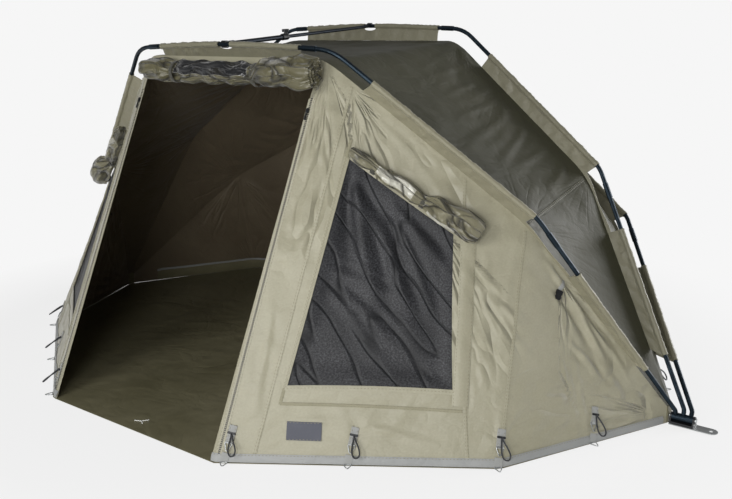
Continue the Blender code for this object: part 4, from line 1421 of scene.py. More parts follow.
@dataclass
class SewnSheet:
    """A finished sheet of cloth, and all that is sewn on it."""

    obj: bpy.types.Object
    grid: ClothGrid
    hang: Hang
    slot: str
    rests_on: Sequence[str]
    sewn_on: list[bpy.types.Object] = field(default_factory=list)
    strips: dict[Finish, list[bpy.types.Mesh]] = field(default_factory=dict)
    seams: list[tuple[Points, Points]] = field(default_factory=list)
    zips: list[tuple[Points, Points]] = field(default_factory=list)

    def strip(self, path: Sequence[Pair], width: float, finish: Finish, sewing: Sewing) -> None:
        """Sews a strip on the cloth.

        Args:
            path: the (u, v) places of its middle line.
            width: in metres.
            finish: its surface.
            sewing: how it is sewn on.
        """
        lanes = np.linspace(-1.0, 1.0, max(int(width / 0.009), 2) + 1)
        points, normals = self.grid.beside(path, lanes * width / 2)
        side = -1.0 if sewing.lift < 0 else 1.0
        rise = sewing.lift + side * (sewing.thickness / 2 + sewing.bulge * (1.0 - lanes**2))
        points = points + normals * rise[:, None, None]
        keep = np.ones((len(lanes) - 1, points.shape[1] - 1), bool)
        grid = ClothGrid(np.arange(points.shape[1], dtype=float), lanes, points, keep)
        self.strips.setdefault(finish, []).append(grid.mesh("strip", sewing.thickness))
        for lane in sewing.stitched:
            height = sewing.lift + side * (sewing.thickness + sewing.bulge * (1.0 - lane**2))
            self.seams.append(self.row(path, lane * width / 2, height))

    def row(self, path: Sequence[Pair], offset: float, lift: float) -> tuple[Points, Points]:
        """The points and the outward directions of a row of stitches or teeth beside a path."""
        points, normals = self.grid.beside(path, [offset])
        return points[0] + normals[0] * lift, normals[0]

    def level(self, places: Iterable[float], height: float) -> list[Pair]:
        """A path along the cloth at one height above its ground edge."""
        ends = self.grid.sample(self.grid.flat, np.array([(place, 1.0) for place in places]))
        return [(float(place), min(height / float(end[1]), 0.4)) for place, end in zip(places, ends)]

    def add(self, name: str, meshes: Sequence[bpy.types.Mesh], finish: Finish, slot: str) -> None:
        """Adds loose fittings that hang on this cloth."""
        mesh = meshes[0] if len(meshes) == 1 else join_meshes(name, meshes)
        self.sewn_on.append(add_piece(name, mesh, (finish, finish), self.hang))

    def declare(self) -> None:
        name = self.obj.name
        for finish, meshes in self.strips.items():
            self.add(f"{name}_{finish.name.lower()}", meshes, finish, self.slot)
        if self.seams:
            self.add(f"{name}_stitches", [STITCHES.along(self.seams)], Finish.THREAD, self.slot)
        if self.zips:
            self.add(f"{name}_zip_teeth", [ZIP_TEETH.along(self.zips)], Finish.NYLON, "black_nylon")
        flat, area = self.grid.measure()


def tube(path: Points, radius: float, closed: bool = False, sides: int = 8) -> bpy.types.Mesh:
    """A round bar or cord along a path.

    Args:
        path: its centre line.
        radius: in metres.
        closed: whether it joins up.
        sides: of its outline.

    Returns:
        The closed mesh.
    """
    before = np.roll(path, 1, axis=0) if closed else np.vstack([path[:1], path[:-1]])
    after = np.roll(path, -1, axis=0) if closed else np.vstack([path[1:], path[-1:]])
    heading = unit(after - before)
    frames = [unit(np.cross(heading[0], (0.3, 0.5, 0.81)))]
    for direction in heading[1:]:
        frames.append(unit(frames[-1] - direction * (frames[-1] @ direction)))
    right = np.array(frames)
    up = np.cross(heading, right)
    angles = np.linspace(0, 2 * math.pi, sides, endpoint=False)
    spokes = np.cos(angles)[:, None] * right[:, None] + np.sin(angles)[:, None] * up[:, None]
    ring = path[:, None] + radius * spokes
    index = np.arange(len(path) * sides).reshape(len(path), sides)
    faces = [quads(index, (1, 0) if closed else (1,))]
    if not closed:
        for cap, flip in ((index[0], -1), (index[-1], 1)):
            ends = [(cap[0], cap[k], cap[k + 1], cap[k + 2]) for k in range(1, sides - 2, 2)]
            faces.append(np.array(ends)[:, ::flip])
    uv = flat_places(running_length(path), angles * radius)
    return outward_faces(mesh_from_arrays("tube", ring.reshape(-1, 3), np.concatenate(faces), None, uv))


def outward_faces(mesh: bpy.types.Mesh) -> bpy.types.Mesh:
    """Turns a closed mesh's faces outwards if its volume says that they face in.

    Args:
        mesh: a closed mesh.

    Returns:
        The same mesh.
    """
    mesh.calc_loop_triangles()
    points = np.zeros(len(mesh.vertices) * 3)
    mesh.vertices.foreach_get("co", points)
    corners = np.zeros(len(mesh.loop_triangles) * 3, dtype=np.int32)
    mesh.loop_triangles.foreach_get("vertices", corners)
    triangles = points.reshape(-1, 3)[corners.reshape(-1, 3)]
    if np.linalg.det(triangles - points.reshape(-1, 3).mean(axis=0)).sum() < 0:
        mesh.flip_normals()
    return mesh


@dataclass
class FrontTrim:
    """What is sewn on the front shell: ground band, seams, window frames, zip, plain patch and buckles."""

    band_width: float = 0.026
    band_middle: float = 0.0135
    seam_width: float = 0.011
    frame_width: float = 0.016
    flap_width: float = 0.05
    door_zip_width: float = 0.022
    cover_zip_width: float = 0.010
    teeth_lift: float = 0.0017
    patch_height: float = 0.058
    buckle_tape_width: float = 0.014
    buckle_thickness: float = 0.008
    door_zip: Sequence[Pair] = ((1.0070, 0.012), (1.0026, 0.182), (0.9735, 0.9))
    long_seams: Sequence[Sequence[Pair]] = (
        ((1.1438, 0.985), (1.1353, 0.024)),
        ((1.7001, 0.985), (1.775, 0.6), (1.885, 0.024)),
        ((2.0, 0.975), (2.0, 0.03)),
    )
    frame: Sequence[Pair] = ((1.199, 0.815), (1.180, 0.192), (1.797, 0.260))
    cover_zip: Sequence[Pair] = ((1.1961, 0.8627), (1.18, 0.152), (1.8412, 0.198))
    flap: Sequence[Pair] = ((1.757, 0.81), (1.795, 0.55), (1.83, 0.215))
    patch_line: Sequence[Pair] = ((1.227, 0.085), (1.353, 0.0885))
    buckle_line: Sequence[Pair] = ((2.252, 0.955), (2.231, 0.885), (2.222, 0.835))
    buckle_half: Sequence[Pair] = ((0.008, 0.032), (0.011, 0.021), (0.008, 0.016), (0.012, 0.013), (0.012, 0))

    def build(self, sheet: SewnSheet) -> None:
        """Sews everything on, on both sides of the door.

        Args:
            sheet: the front shell.
        """
        for side, name in SIDES:
            self.edges(sheet, side)
            for path in self.long_seams:
                sheet.strip(self.placed(path, side), self.seam_width, Finish.WALL, FELLED_SEAM)
            self.window(sheet, side)
            self.buckle(sheet, side, name)
        sheet.strip(self.patch_line, self.patch_height, Finish.PATCH, PLAIN_PATCH)

    @staticmethod
    def placed(path: Sequence[Pair], side: int) -> list[Pair]:
        """A right-hand path on one side of the tent."""
        return [(side * u, v) for u, v in path]

    def edges(self, sheet: SewnSheet, side: int) -> None:
        """The grey ground band, the door's hem and its zip.

        Args:
            sheet: the front shell.
            side: -1 for left and 1 for right.
        """
        band = sheet.level(side * np.linspace(0.962, 2.963, 48), self.band_middle)
        sheet.strip(band, self.band_width, Finish.BAND, GROUND_BAND)
        path = self.placed(self.door_zip, side)
        # The door's hem is painted paler than the wall: a painted highlight along the jamb
        sheet.strip(path, self.door_zip_width, Finish.HEM_PAINTED_HIGHLIGHT, DOOR_ZIP_TAPE)
        sheet.zips.append(sheet.row(path, 0.0, self.teeth_lift))

    def window(self, sheet: SewnSheet, side: int) -> None:
        """The frame of the window, the zip round its cover and the flap beside it.

        Args:
            sheet: the front shell.
            side: -1 for left and 1 for right.
        """
        for line, width, finish, sewing in (
            (self.frame, self.frame_width, Finish.WALL, WINDOW_FRAME),
            (self.cover_zip, self.cover_zip_width, Finish.TAPE, COVER_ZIP_TAPE),
        ):
            for start in (0, 1):
                sheet.strip(self.placed(line[start : start + 2], side), width, finish, sewing)
        sheet.strip(self.placed(self.flap, side), self.flap_width, Finish.WALL, WINDOW_FLAP)

    def buckle(self, sheet: SewnSheet, side: int, name: str) -> None:
        """The buckle on its short tape, high on the side wall.

        Args:
            sheet: the front shell.
            side: -1 for left and 1 for right.
            name: the side's name.
        """
        line = self.placed(self.buckle_line, side)
        sheet.strip(line[:2], self.buckle_tape_width, Finish.STRAP, BUCKLE_TAPE)
        points, normals = sheet.grid.beside(line[1:], [0.0])
        outline = [(-across, down) for across, down in self.buckle_half[::-1]] + list(self.buckle_half)
        top = points[0][0] + normals[0][0] * 0.006
        mesh = plate(outline, top, points[0][-1] - points[0][0], normals[0][0], self.buckle_thickness)
        sheet.add(f"side_buckle_{name}", [mesh], Finish.NYLON, "black_nylon")


@dataclass
class RearTrim:
    """What is sewn on the rear shell: the ground band outside and in, and the seams at its corners."""

    band_width: float = 0.026
    band_middle: float = 0.0135
    binding_width: float = 0.012
    upstand: float = 0.07
    patch_place: float = 1.4510
    patch_top: float = 0.066
    patch_thickness: float = 0.003
    patch_outline: Sequence[Pair] = ((-0.021, 0.0012), (0.021, 0.0012), (0.030, 0.054), (0.008, 0.066), (-0.022, 0.062))

    def build(self, sheet: SewnSheet) -> None:
        """Sews everything on.

        Args:
            sheet: the rear shell.
        """
        band = sheet.level(np.linspace(-2.985, 2.985, 121), self.band_middle)
        sheet.strip(band, self.band_width, Finish.BAND, GROUND_BAND)
        inside = np.linspace(-2.8, 2.8, 121)
        sheet.strip(sheet.level(inside, self.upstand / 2 + 0.002), self.upstand, Finish.GROUND, INSIDE_UPSTAND)
        sheet.strip(sheet.level(inside, self.upstand), self.binding_width, Finish.BAND, INSIDE_BINDING)
        patches = []
        for side, _ in SIDES:
            top = np.array([side * self.patch_place, 0.0, self.patch_top])
            outline = [(side * across, self.patch_top - height) for across, height in self.patch_outline]
            patches.append(plate(outline, top, -UP, np.array([float(side), 0.0, 0.0]), self.patch_thickness))
        sheet.add("hub_corner_patches", patches, Finish.GROUND, "groundsheet_pvc")
        for place in SEAM_PLACES:
            sheet.strip([(place, 0.97), (place, 0.03)], 0.011, Finish.ROOF, FELLED_SEAM)
            sheet.strip([(place, 0.97), (place, 0.1)], 0.010, Finish.LINING, INSIDE_TAPE)


@dataclass
class RoofTrim:
    """The seams of a roof sheet, taped inside."""

    seam_width: float = 0.011

    def build(self, sheet: SewnSheet) -> None:
        """Sews them on.

        Args:
            sheet: a roof bay.
        """
        for place in SEAM_PLACES:
            path = [(place, 0.95), (place, 0.05)]
            sheet.strip(path, self.seam_width, Finish.LINING, INSIDE_TAPE)
            if abs(place) > 1.5:
                sheet.strip(path, self.seam_width, Finish.ROOF, FELLED_SEAM)


@dataclass
class PegPoints:
    """Where the skirt is pegged: a folded tape with a steel ring, a ground ring and an elastic loop."""

    tape_width: float = 0.024
    tape_top: float = 0.118
    tape_end: float = 0.058
    ring_width: float = 0.026
    ring_height: float = 0.028
    wire_radius: float = 0.0017
    loop_length: float = 0.072
    loop_width: float = 0.024
    cord_radius: float = 0.0026
    front_places: Sequence[float] = (1.034, 1.47, 1.993, 2.517)
    rear_places: Sequence[float] = (0.6, 1.5, 2.0, 2.6)
    keeper_outline: Sequence[Pair] = ((-0.0135, 0), (-0.0135, 0.007), (0.0135, 0.007), (0.0135, 0))

    def build(self, front: SewnSheet, rear: SewnSheet) -> None:
        """Makes every peg point of both shells.

        Args:
            front: the front shell.
            rear: the rear shell.
        """
        for sheet, places, label in ((front, self.front_places, "front"), (rear, self.rear_places, "rear")):
            placed = [place * side for place in places for side, _ in SIDES]
            points = [self.one(sheet, place, number) for number, place in enumerate(placed)]
            rings, loops, keepers = zip(*points)
            sheet.add(f"{label}_peg_rings", [ring for pair in rings for ring in pair], Finish.STEEL, "zinc_steel")
            sheet.add(f"{label}_peg_loops", loops, Finish.ELASTIC, "black_nylon")
            sheet.add(f"{label}_peg_keepers", keepers, Finish.NYLON, "black_nylon")

    def one(self, sheet: SewnSheet, place: float, number: int) -> tuple:
        """Makes one peg point at a place along the ground edge.

        Args:
            sheet: the cloth that carries it.
            place: along the ground edge.
            number: counts the peg points, and varies how the loop hangs.

        Returns:
            Its two steel rings, its elastic loop, and the black keeper on the tape.
        """
        tall = float(sheet.grid.sample(sheet.grid.flat, np.array([[place, 1.0]]))[0, 1])
        high, low = self.tape_top / tall, self.tape_end / tall
        sheet.strip([(place, high), (place, low)], self.tape_width, Finish.STRAP, PEG_TAPE)
        sheet.strip([(place, 0.03 / tall), (place, 0.004 / tall)], self.tape_width, Finish.STRAP, PEG_TAPE_END)
        points, normals = sheet.grid.beside([(place, high), (place, 0.002 / tall)], [0.0], 0.004)
        points, normals = points[0], normals[0]
        down = unit(points[-1] - points[0])
        outward = unit(normals.mean(axis=0))
        outward = unit(outward - down * (outward @ down))
        across = np.cross(outward, down)
        ring_top, keeper_top, loop_top = at_lengths(
            points, np.array([self.tape_top - self.tape_end - 0.004, 0.022, 0.026])
        )
        upper = self.ring(ring_top + outward * 0.006, across, down + 0.1 * outward)
        flat_out = unit(outward * (1.0 - UP))
        low_point = points[-1] + outward * 0.006
        low_point[2] = 0.0045
        lower = self.ring(low_point, unit(np.cross(flat_out, UP)), flat_out)
        keeper = plate(self.keeper_outline, keeper_top + outward * 0.0065, down, outward, 0.005)
        lean = unit(down + across * (0.35 if number % 2 else -0.3) + outward * (0.28 if place > 0 else 0.7))
        side = unit(np.cross(outward, lean))
        turn = np.linspace(0.16, 2 * math.pi - 0.16, 26)
        width = self.loop_width / 1.3 * np.sin(turn) * np.sin(turn / 2) ** 2
        reach = self.loop_length * (1 - np.cos(turn)) / 2
        path = loop_top + outward * 0.008 + width[:, None] * side + reach[:, None] * lean
        path = path + 0.004 * np.sin(turn)[:, None] * outward
        path[:, 2] = np.maximum(path[:, 2], self.cord_radius + 0.0005)
        return (upper, lower), tube(path, self.cord_radius), keeper

    def ring(self, top: Points, across: Points, down: Points) -> bpy.types.Mesh:
        """A triangle of bent wire that hangs from the middle of its top side.

        Args:
            top: the middle of its top side.
            across: the direction of that side.
            down: the direction in which it hangs.

        Returns:
            The closed mesh.
        """
        corners = np.array([(-0.5, 0.0), (0.5, 0.0), (0.04, 1.0), (-0.04, 1.0)]) * (self.ring_width, self.ring_height)
        closed = np.vstack([corners, corners[:1]])
        flat = at_lengths(closed, np.linspace(0, running_length(closed)[-1], 25)[:-1])
        for _ in range(2):
            flat = (np.roll(flat, 1, axis=0) + 2 * flat + np.roll(flat, -1, axis=0)) / 4
        return tube(top + flat[:, :1] * across + flat[:, 1:] * unit(down), self.wire_radius, closed=True)


def plate(outline: Sequence[Pair], top: Points, down: Points, outward: Points, thickness: float) -> bpy.types.Mesh:
    """A small moulded plate with bevelled edges.

    Args:
        outline: across and down from its top, in metres.
        top: the place of its top.
        down: the direction of its length.
        outward: the direction of its face.
        thickness: in metres.

    Returns:
        The closed mesh.
    """
    down = unit(down)
    across = unit(np.cross(outward, down))
    face = unit(np.cross(down, across))
    bm = bmesh.new()
    verts = [bm.verts.new(top + across * x + down * y - face * thickness / 2) for x, y in outline]
    base = bm.faces.new(verts)
    grown = bmesh.ops.extrude_face_region(bm, geom=[base])
    moved = [item for item in grown["geom"] if isinstance(item, bmesh.types.BMVert)]
    bmesh.ops.translate(bm, verts=moved, vec=Vector(face * thickness))
    bmesh.ops.bevel(bm, geom=bm.edges[:], offset=0.0012, segments=2, affect="EDGES")
    bmesh.ops.recalc_face_normals(bm, faces=bm.faces)
    mesh = bpy.data.meshes.new("plate")
    bm.to_mesh(mesh)
    bm.free()
    mesh.uv_layers.new(name="flat")
    mesh.shade_smooth()
    mesh.set_sharp_from_angle(angle=math.radians(40))
    return mesh


# Sub-assemblies


@dataclass
class Canopy:
    """The roof: one sheet from the front rib's seam to the middle one's, and one from there to the rear one's."""

    cell: float = 0.012
    sag: float = 0.010
    ridge: float = 0.017
    front_fans: Sequence[tuple] = (
        (1.0, 1.0, 270, 20, 75, 9, (0.25, 0.75), 0.020, 0.006),
        (1.35, 1.0, 270, 5, 60, 6, (0.2, 0.5), 0.018, 0.004),
        (1.0, 0.0, 90, -80, -20, 5, (0.2, 0.5), 0.018, 0.004),
        (2.0, 0.0, 90, -70, 50, 5, (0.2, 0.5), 0.022, 0.0026),
        (2.0, 1.0, 270, -50, 70, 5, (0.2, 0.5), 0.022, 0.0026),
    )
    rear_fans: Sequence[tuple] = (
        (1.0, 0.0, 90, -80, -10, 6, (0.2, 0.5), 0.020, 0.004),
        (1.0, 1.0, 270, 10, 80, 4, (0.2, 0.5), 0.022, 0.0025),
        (2.0, 1.0, 270, -50, 60, 6, (0.2, 0.45), 0.020, 0.004),
    )

    def bay(self, first: Rib, second: Rib, fans: Sequence[Fan], seed: int) -> ClothGrid:
        """The wrinkled cloth between two ribs.

        Args:
            first: the rib in front.
            second: the rib behind.
            fans: where the cloth is pulled.
            seed: of the random draws.

        Returns:
            The cloth.
        """
        columns = column_places([first.seam, second.seam], self.cell, WHOLE_EDGE)
        rows = np.linspace(0.0, 1.0, 58)
        grid = ClothGrid.spanned(first.seam, second.seam, columns, rows)
        mask = grid.hem_mask()
        rng = np.random.default_rng(seed)
        folds = []
        for side, _ in SIDES:
            for start in np.linspace(1.04, 1.86, 8):
                high, low = rng.uniform(0.86, 1.0), rng.uniform(0.1, 0.5)
                place = float(start + rng.uniform(-0.03, 0.03))
                lean = rng.uniform(0.04, 0.16)
                height = rng.uniform(0.5, 1.0) * self.ridge
                folds.append(Fold((side * place, high), (side * (place + lean), low), rng.uniform(0.011, 0.02), height))
        heights = np.broadcast_to(-self.sag * np.sin(math.pi * rows)[:, None], mask.shape).copy()
        heights += mask * grid.fold_heights(folds, fans)
        heights += mask * grid.crumple(0.22, 0.002, seed)
        span = grid.flat[-1:, :, 1]
        grid.pull = grid.pulls(fans)
        return grid.displaced(heights * np.clip(span / 0.4, 0.0, 1.0))

    def build(self) -> list[SewnSheet]:
        """Makes both roof sheets."""
        front_fans, rear_fans = [], []
        for side, _ in SIDES:
            seed = 40 if side > 0 else 80
            front_fans += Fan.on_side(side, self.front_fans, seed)
            rear_fans += Fan.on_side(side, self.rear_fans, seed + len(self.front_fans))
        sheets = []
        for name, first, second, fans, hang, seed in (
            ("front_bay", FRONT, MIDDLE, front_fans, FRONT_BAY, 11),
            ("rear_bay", MIDDLE, REAR, rear_fans, REAR_BAY, 12),
        ):
            grid = self.bay(first, second, fans, seed)
            nodes = [f"{name}_roof", f"{name}_side_left", f"{name}_side_right"]
            obj = add_piece(f"{name}_canopy", grid.mesh(name), (Finish.ROOF, Finish.LINING), hang, nodes)
            poles = [f"{first.name}_crown_pole", f"{second.name}_crown_pole"]
            sheets.append(SewnSheet(obj, grid, hang, "roof_cloth", poles))
        return sheets


@dataclass
class FrontShell:
    """The door surround, both window walls and both side walls: one sheet with a door opening and two windows."""

    cell: float = 0.010
    door_jamb: float = 0.02
    door_head: float = 0.938
    hole_columns: Pair = (0.19, 0.77)
    hole_rows: Pair = (0.235, 0.815)
    hole_corners: Sequence[Pair] = ((0.185, 0.2), (0.793, 0.268), (0.204, 0.815), (0.694, 0.785))
    fans: Sequence[tuple] = (
        (1.02, 0.99, 270, -12, 35, 5, (0.3, 0.8), 0.015, 0.0038),
        (1.14, 0.985, 270, 8, 66, 8, (0.25, 0.75), 0.013, 0.0052),
        (1.17, 0.86, 270, -60, -5, 4, (0.12, 0.3), 0.012, 0.005),
        (1.72, 0.82, 270, -4, 40, 6, (0.2, 0.6), 0.013, 0.007),
        (2.22, 0.95, 270, 12, 58, 9, (0.3, 0.95), 0.014, 0.008),
        (2.5, 0.2, 90, -60, 60, 5, (0.08, 0.22), 0.010, 0.004),
        (1.47, 0.06, 90, -80, 80, 7, (0.06, 0.22), 0.010, 0.004),
        (2.0, 0.10, 90, -50, 50, 5, (0.08, 0.25), 0.010, 0.005),
        (2.93, 0.4, 90, 66, 98, 6, (0.25, 0.7), 0.014, 0.007),
    )
    folds: Sequence[tuple] = (
        (1.87, 0.86, 1.90, 0.2, 0.014, 0.008),
        (1.94, 0.75, 1.93, 0.22, 0.011, -0.007),
        (1.97, 0.93, 1.95, 0.45, 0.010, 0.006),
        (2.12, 0.95, 2.7, 0.55, 0.012, 0.013),
        (2.16, 0.86, 2.78, 0.42, 0.012, -0.012),
        (2.3, 0.66, 2.78, 0.24, 0.012, 0.013),
        (2.25, 0.42, 2.45, 0.2, 0.010, -0.006),
        (1.05, 0.4, 1.12, 0.06, 0.012, 0.010),
        (1.22, 0.125, 1.45, 0.135, 0.010, 0.008),
        (1.48, 0.115, 1.82, 0.06, 0.010, 0.009),
    )

    def warp(self, u: Points, v: Points) -> tuple[Points, Points]:
        """Moves the cells of the window walls so that they follow the slanting edges of the windows.

        Args:
            u: places along the wall.
            v: places up the wall.

        Returns:
            The moved places.
        """
        side = np.sign(u)
        place = np.clip(np.abs(u) - 1.0, 0.0, 1.0)
        c1, c2 = self.hole_columns
        r1, r2 = self.hole_rows
        shift_u, shift_v = np.zeros_like(u), np.zeros_like(v)
        for (column, row), (goal_u, goal_v) in zip(((c1, r1), (c2, r1), (c1, r2), (c2, r2)), self.hole_corners):
            across = np.interp(place, [0, c1, c2, 1], [0, float(column == c1), float(column == c2), 0])
            upward = np.interp(v, [0, r1, r2, 1], [0, float(row == r1), float(row == r2), 0])
            shift_u += across * upward * (goal_u - column)
            shift_v += across * upward * (goal_v - row)
        return u + side * shift_u, v + shift_v

    def unwarp(self, u: Points, v: Points) -> tuple[Points, Points]:
        """The grid places that the warp moves to some places.

        Args:
            u: moved places along the wall.
            v: moved places up the wall.

        Returns:
            The grid places.
        """
        found_u, found_v = u, v
        for _ in range(12):
            moved_u, moved_v = self.warp(found_u, found_v)
            found_u, found_v = found_u + u - moved_u, found_v + v - moved_v
        return found_u, found_v

    def smooth(self) -> ClothGrid:
        """The cloth before it wrinkles, with its openings cut."""
        jamb = 1.0 - 2.0 * self.door_jamb
        c1, c2 = (1.0 + share for share in self.hole_columns)
        right = [jamb, 1.0, c1, c2, 2.0, 3.0]
        stops = [-place for place in right[::-1]] + right
        columns = column_places([FRONT_GROUND, FRONT.seam], self.cell, stops)
        r1, r2 = self.hole_rows
        spans = ((0, r1, 31), (r1, r2, 73), (r2, self.door_head, 14), (self.door_head, 1, 9))
        rows = np.concatenate([np.linspace(low, high, count + 1)[:-1] for low, high, count in spans] + [[1.0]])
        grid = ClothGrid.spanned(FRONT_GROUND, FRONT.seam, columns, rows, self.warp)
        grid.cut((-jamb, -1.0), (jamb, self.door_head))
        for side, _ in SIDES:
            low, high = sorted((side * c1, side * c2))
            grid.cut((low, r1), (high, r2))
        return grid

    def window_mask(self, u: Points, v: Points, margin: float = 0.035) -> Points:
        """0 at the windows' edges, where the net is sewn on, and 1 away from them.

        Args:
            u: places along the wall.
            v: places up the wall.
            margin: how far the edges reach.

        Returns:
            A share for each place.
        """
        place = np.abs(u) - 1.0
        across = np.maximum(self.hole_columns[0] - place, place - self.hole_columns[1])
        upward = np.maximum(self.hole_rows[0] - v, v - self.hole_rows[1])
        return ease((np.maximum(across, upward) - 0.03) / margin)

    def build(self) -> tuple[ClothGrid, SewnSheet]:
        """Makes the sheet, and gives its smooth grid and the wrinkled sheet."""
        smooth = self.smooth()
        u, v = np.meshgrid(smooth.columns, smooth.rows)
        fans, folds = [], []
        for side, _ in SIDES:
            fans += Fan.on_side(side, self.fans, 200 if side > 0 else 300)
            folds += Fold.on_side(side, self.folds)
        beside_zip = np.maximum(ease((np.abs(u) - 1.015) / 0.035), ease((v - self.door_head) / 0.02))
        mask = smooth.hem_mask() * self.window_mask(u, v) * beside_zip
        heights = mask * smooth.fold_heights(folds, fans)
        heights += mask * smooth.crumple(0.16, 0.0022, 21)
        panel = ease((1.0 - np.abs(np.abs(u) - 1.5) * 2.0) * 2.0) * (np.abs(u) > 1.0)
        heights -= 0.006 * panel * np.sin(math.pi * v) * self.window_mask(u, v)
        span = smooth.flat[-1:, :, 1]
        header = np.where(np.abs(u) < 1.0, 0.25, 1.0)
        smooth.pull = smooth.pulls([fan for fan in fans if fan.reach[1] > 0.3])
        grid = smooth.displaced(heights * np.clip(span / 0.5, 0.0, 1.0) * header)
        grid.unwarp = self.unwarp
        nodes = ["door_surround"]
        for _, name in SIDES:
            nodes += [f"window_wall_{name}", f"side_wall_{name}"]
        cloth = (Finish.WALL, Finish.LINING)
        obj = add_piece("front_shell", grid.mesh("front"), cloth, FRONT_SHELL, nodes)
        return smooth, SewnSheet(obj, grid, FRONT_SHELL, "wall_cloth", ["front_crown_pole", "groundsheet"])


@dataclass
class RearShell:
    """The back of the tent: one sheet from the rear rib's seam to the ground."""

    cell: float = 0.013
    sag: float = 0.008
    fans: Sequence[tuple] = (
        (1.0, 1.0, 270, -30, 60, 6, (0.25, 0.7), 0.020, 0.003),
        (2.0, 1.0, 270, -50, 40, 6, (0.2, 0.6), 0.020, 0.0035),
        (1.0, 0.03, 90, -50, 50, 6, (0.12, 0.35), 0.012, 0.004),
        (2.0, 0.03, 90, -50, 50, 6, (0.12, 0.35), 0.012, 0.004),
    )

    def build(self) -> SewnSheet:
        """Makes the sheet."""
        columns = column_places([REAR_GROUND, REAR.seam], self.cell, WHOLE_EDGE)
        rows = np.linspace(0.0, 1.0, 88)
        smooth = ClothGrid.spanned(REAR_GROUND, REAR.seam, columns, rows)
        fans = []
        for side, _ in SIDES:
            fans += Fan.on_side(side, self.fans, 400 if side > 0 else 500)
        mask = smooth.hem_mask()
        heights = mask * smooth.fold_heights([], fans) + mask * smooth.crumple(0.18, 0.0018, 31)
        heights -= self.sag * np.sin(math.pi * rows)[:, None]
        span = smooth.flat[-1:, :, 1]
        smooth.pull = smooth.pulls(fans)
        grid = smooth.displaced(heights * np.clip(span / 0.5, 0.0, 1.0))
        nodes = ["rear_wall"]
        for _, name in SIDES:
            nodes += [f"rear_side_{name}", f"rear_quarter_{name}"]
        obj = add_piece("rear_shell", grid.mesh("rear"), (Finish.ROOF, Finish.LINING), REAR_SHELL, nodes)
        return SewnSheet(obj, grid, REAR_SHELL, "roof_cloth", ["rear_crown_pole", "groundsheet"])


@dataclass
class WindowNets:
    """The net panes behind the window openings, with the soft slanting folds of slack net."""

    overlap: float = 0.03
    depth: float = 0.0045
    thickness: float = 0.0008

    def build(self, smooth: ClothGrid, shell: FrontShell) -> None:
        """Makes both panes.

        Args:
            smooth: the front wall's smooth cloth.
            shell: the front shell's sizes.
        """
        c1, c2 = (1.0 + share for share in shell.hole_columns)
        r1, r2 = shell.hole_rows
        for s, name in SIDES:
            columns = np.linspace(c1 - self.overlap, c2 + self.overlap, 64) * s
            rows = np.linspace(r1 - self.overlap, r2 + self.overlap, 92)
            if s < 0:
                columns = columns[::-1]
            places = np.stack(np.meshgrid(columns, rows), axis=-1).reshape(-1, 2)
            points = smooth.sample(smooth.points, places).reshape(len(rows), len(columns), 3)
            pane = ClothGrid(columns, rows, points, np.ones((len(rows) - 1, len(columns) - 1), bool))
            u, v = np.meshgrid((np.abs(columns) - c1) / (c2 - c1), (rows - r1) / (r2 - r1))
            inside = ease(np.minimum.reduce([u, 1 - u, v, 1 - v]) / 0.12)
            fans = [
                Fan(((c1 + 0.02) * s, r2), (270 + s * 8, 270 + s * 50), 8, (0.4, 0.8), 0.026, 0.012, 600 + s),
                Fan(((c1 + 0.2) * s, r2), (270 + s * 15, 270 + s * 45), 5, (0.4, 0.75), 0.024, 0.010, 610 + s),
                Fan((c1 * s, (r1 + r2) / 2), (270 + s * 35, 270 + s * 75), 5, (0.3, 0.6), 0.022, 0.008, 620 + s),
            ]
            folds = [
                Fold(((c1 + 0.02) * s, 0.565), ((c2 - 0.02) * s, 0.560), 0.008, 0.004),
                Fold(((c1 + 0.1) * s, 0.425), ((c2 - 0.06) * s, 0.445), 0.008, 0.004),
            ]
            heights = pane.fold_heights(folds, fans) - self.depth
            heights = heights * inside - self.depth - 0.004 * inside
            grid = pane.displaced(heights)
            mesh = grid.mesh(name, self.thickness)
            nodes = [f"window_mesh_{name}"]
            obj = add_piece(f"window_net_{name}", mesh, (Finish.NET,) * 2, FRONT_SHELL, nodes)
            flat, area = grid.measure()


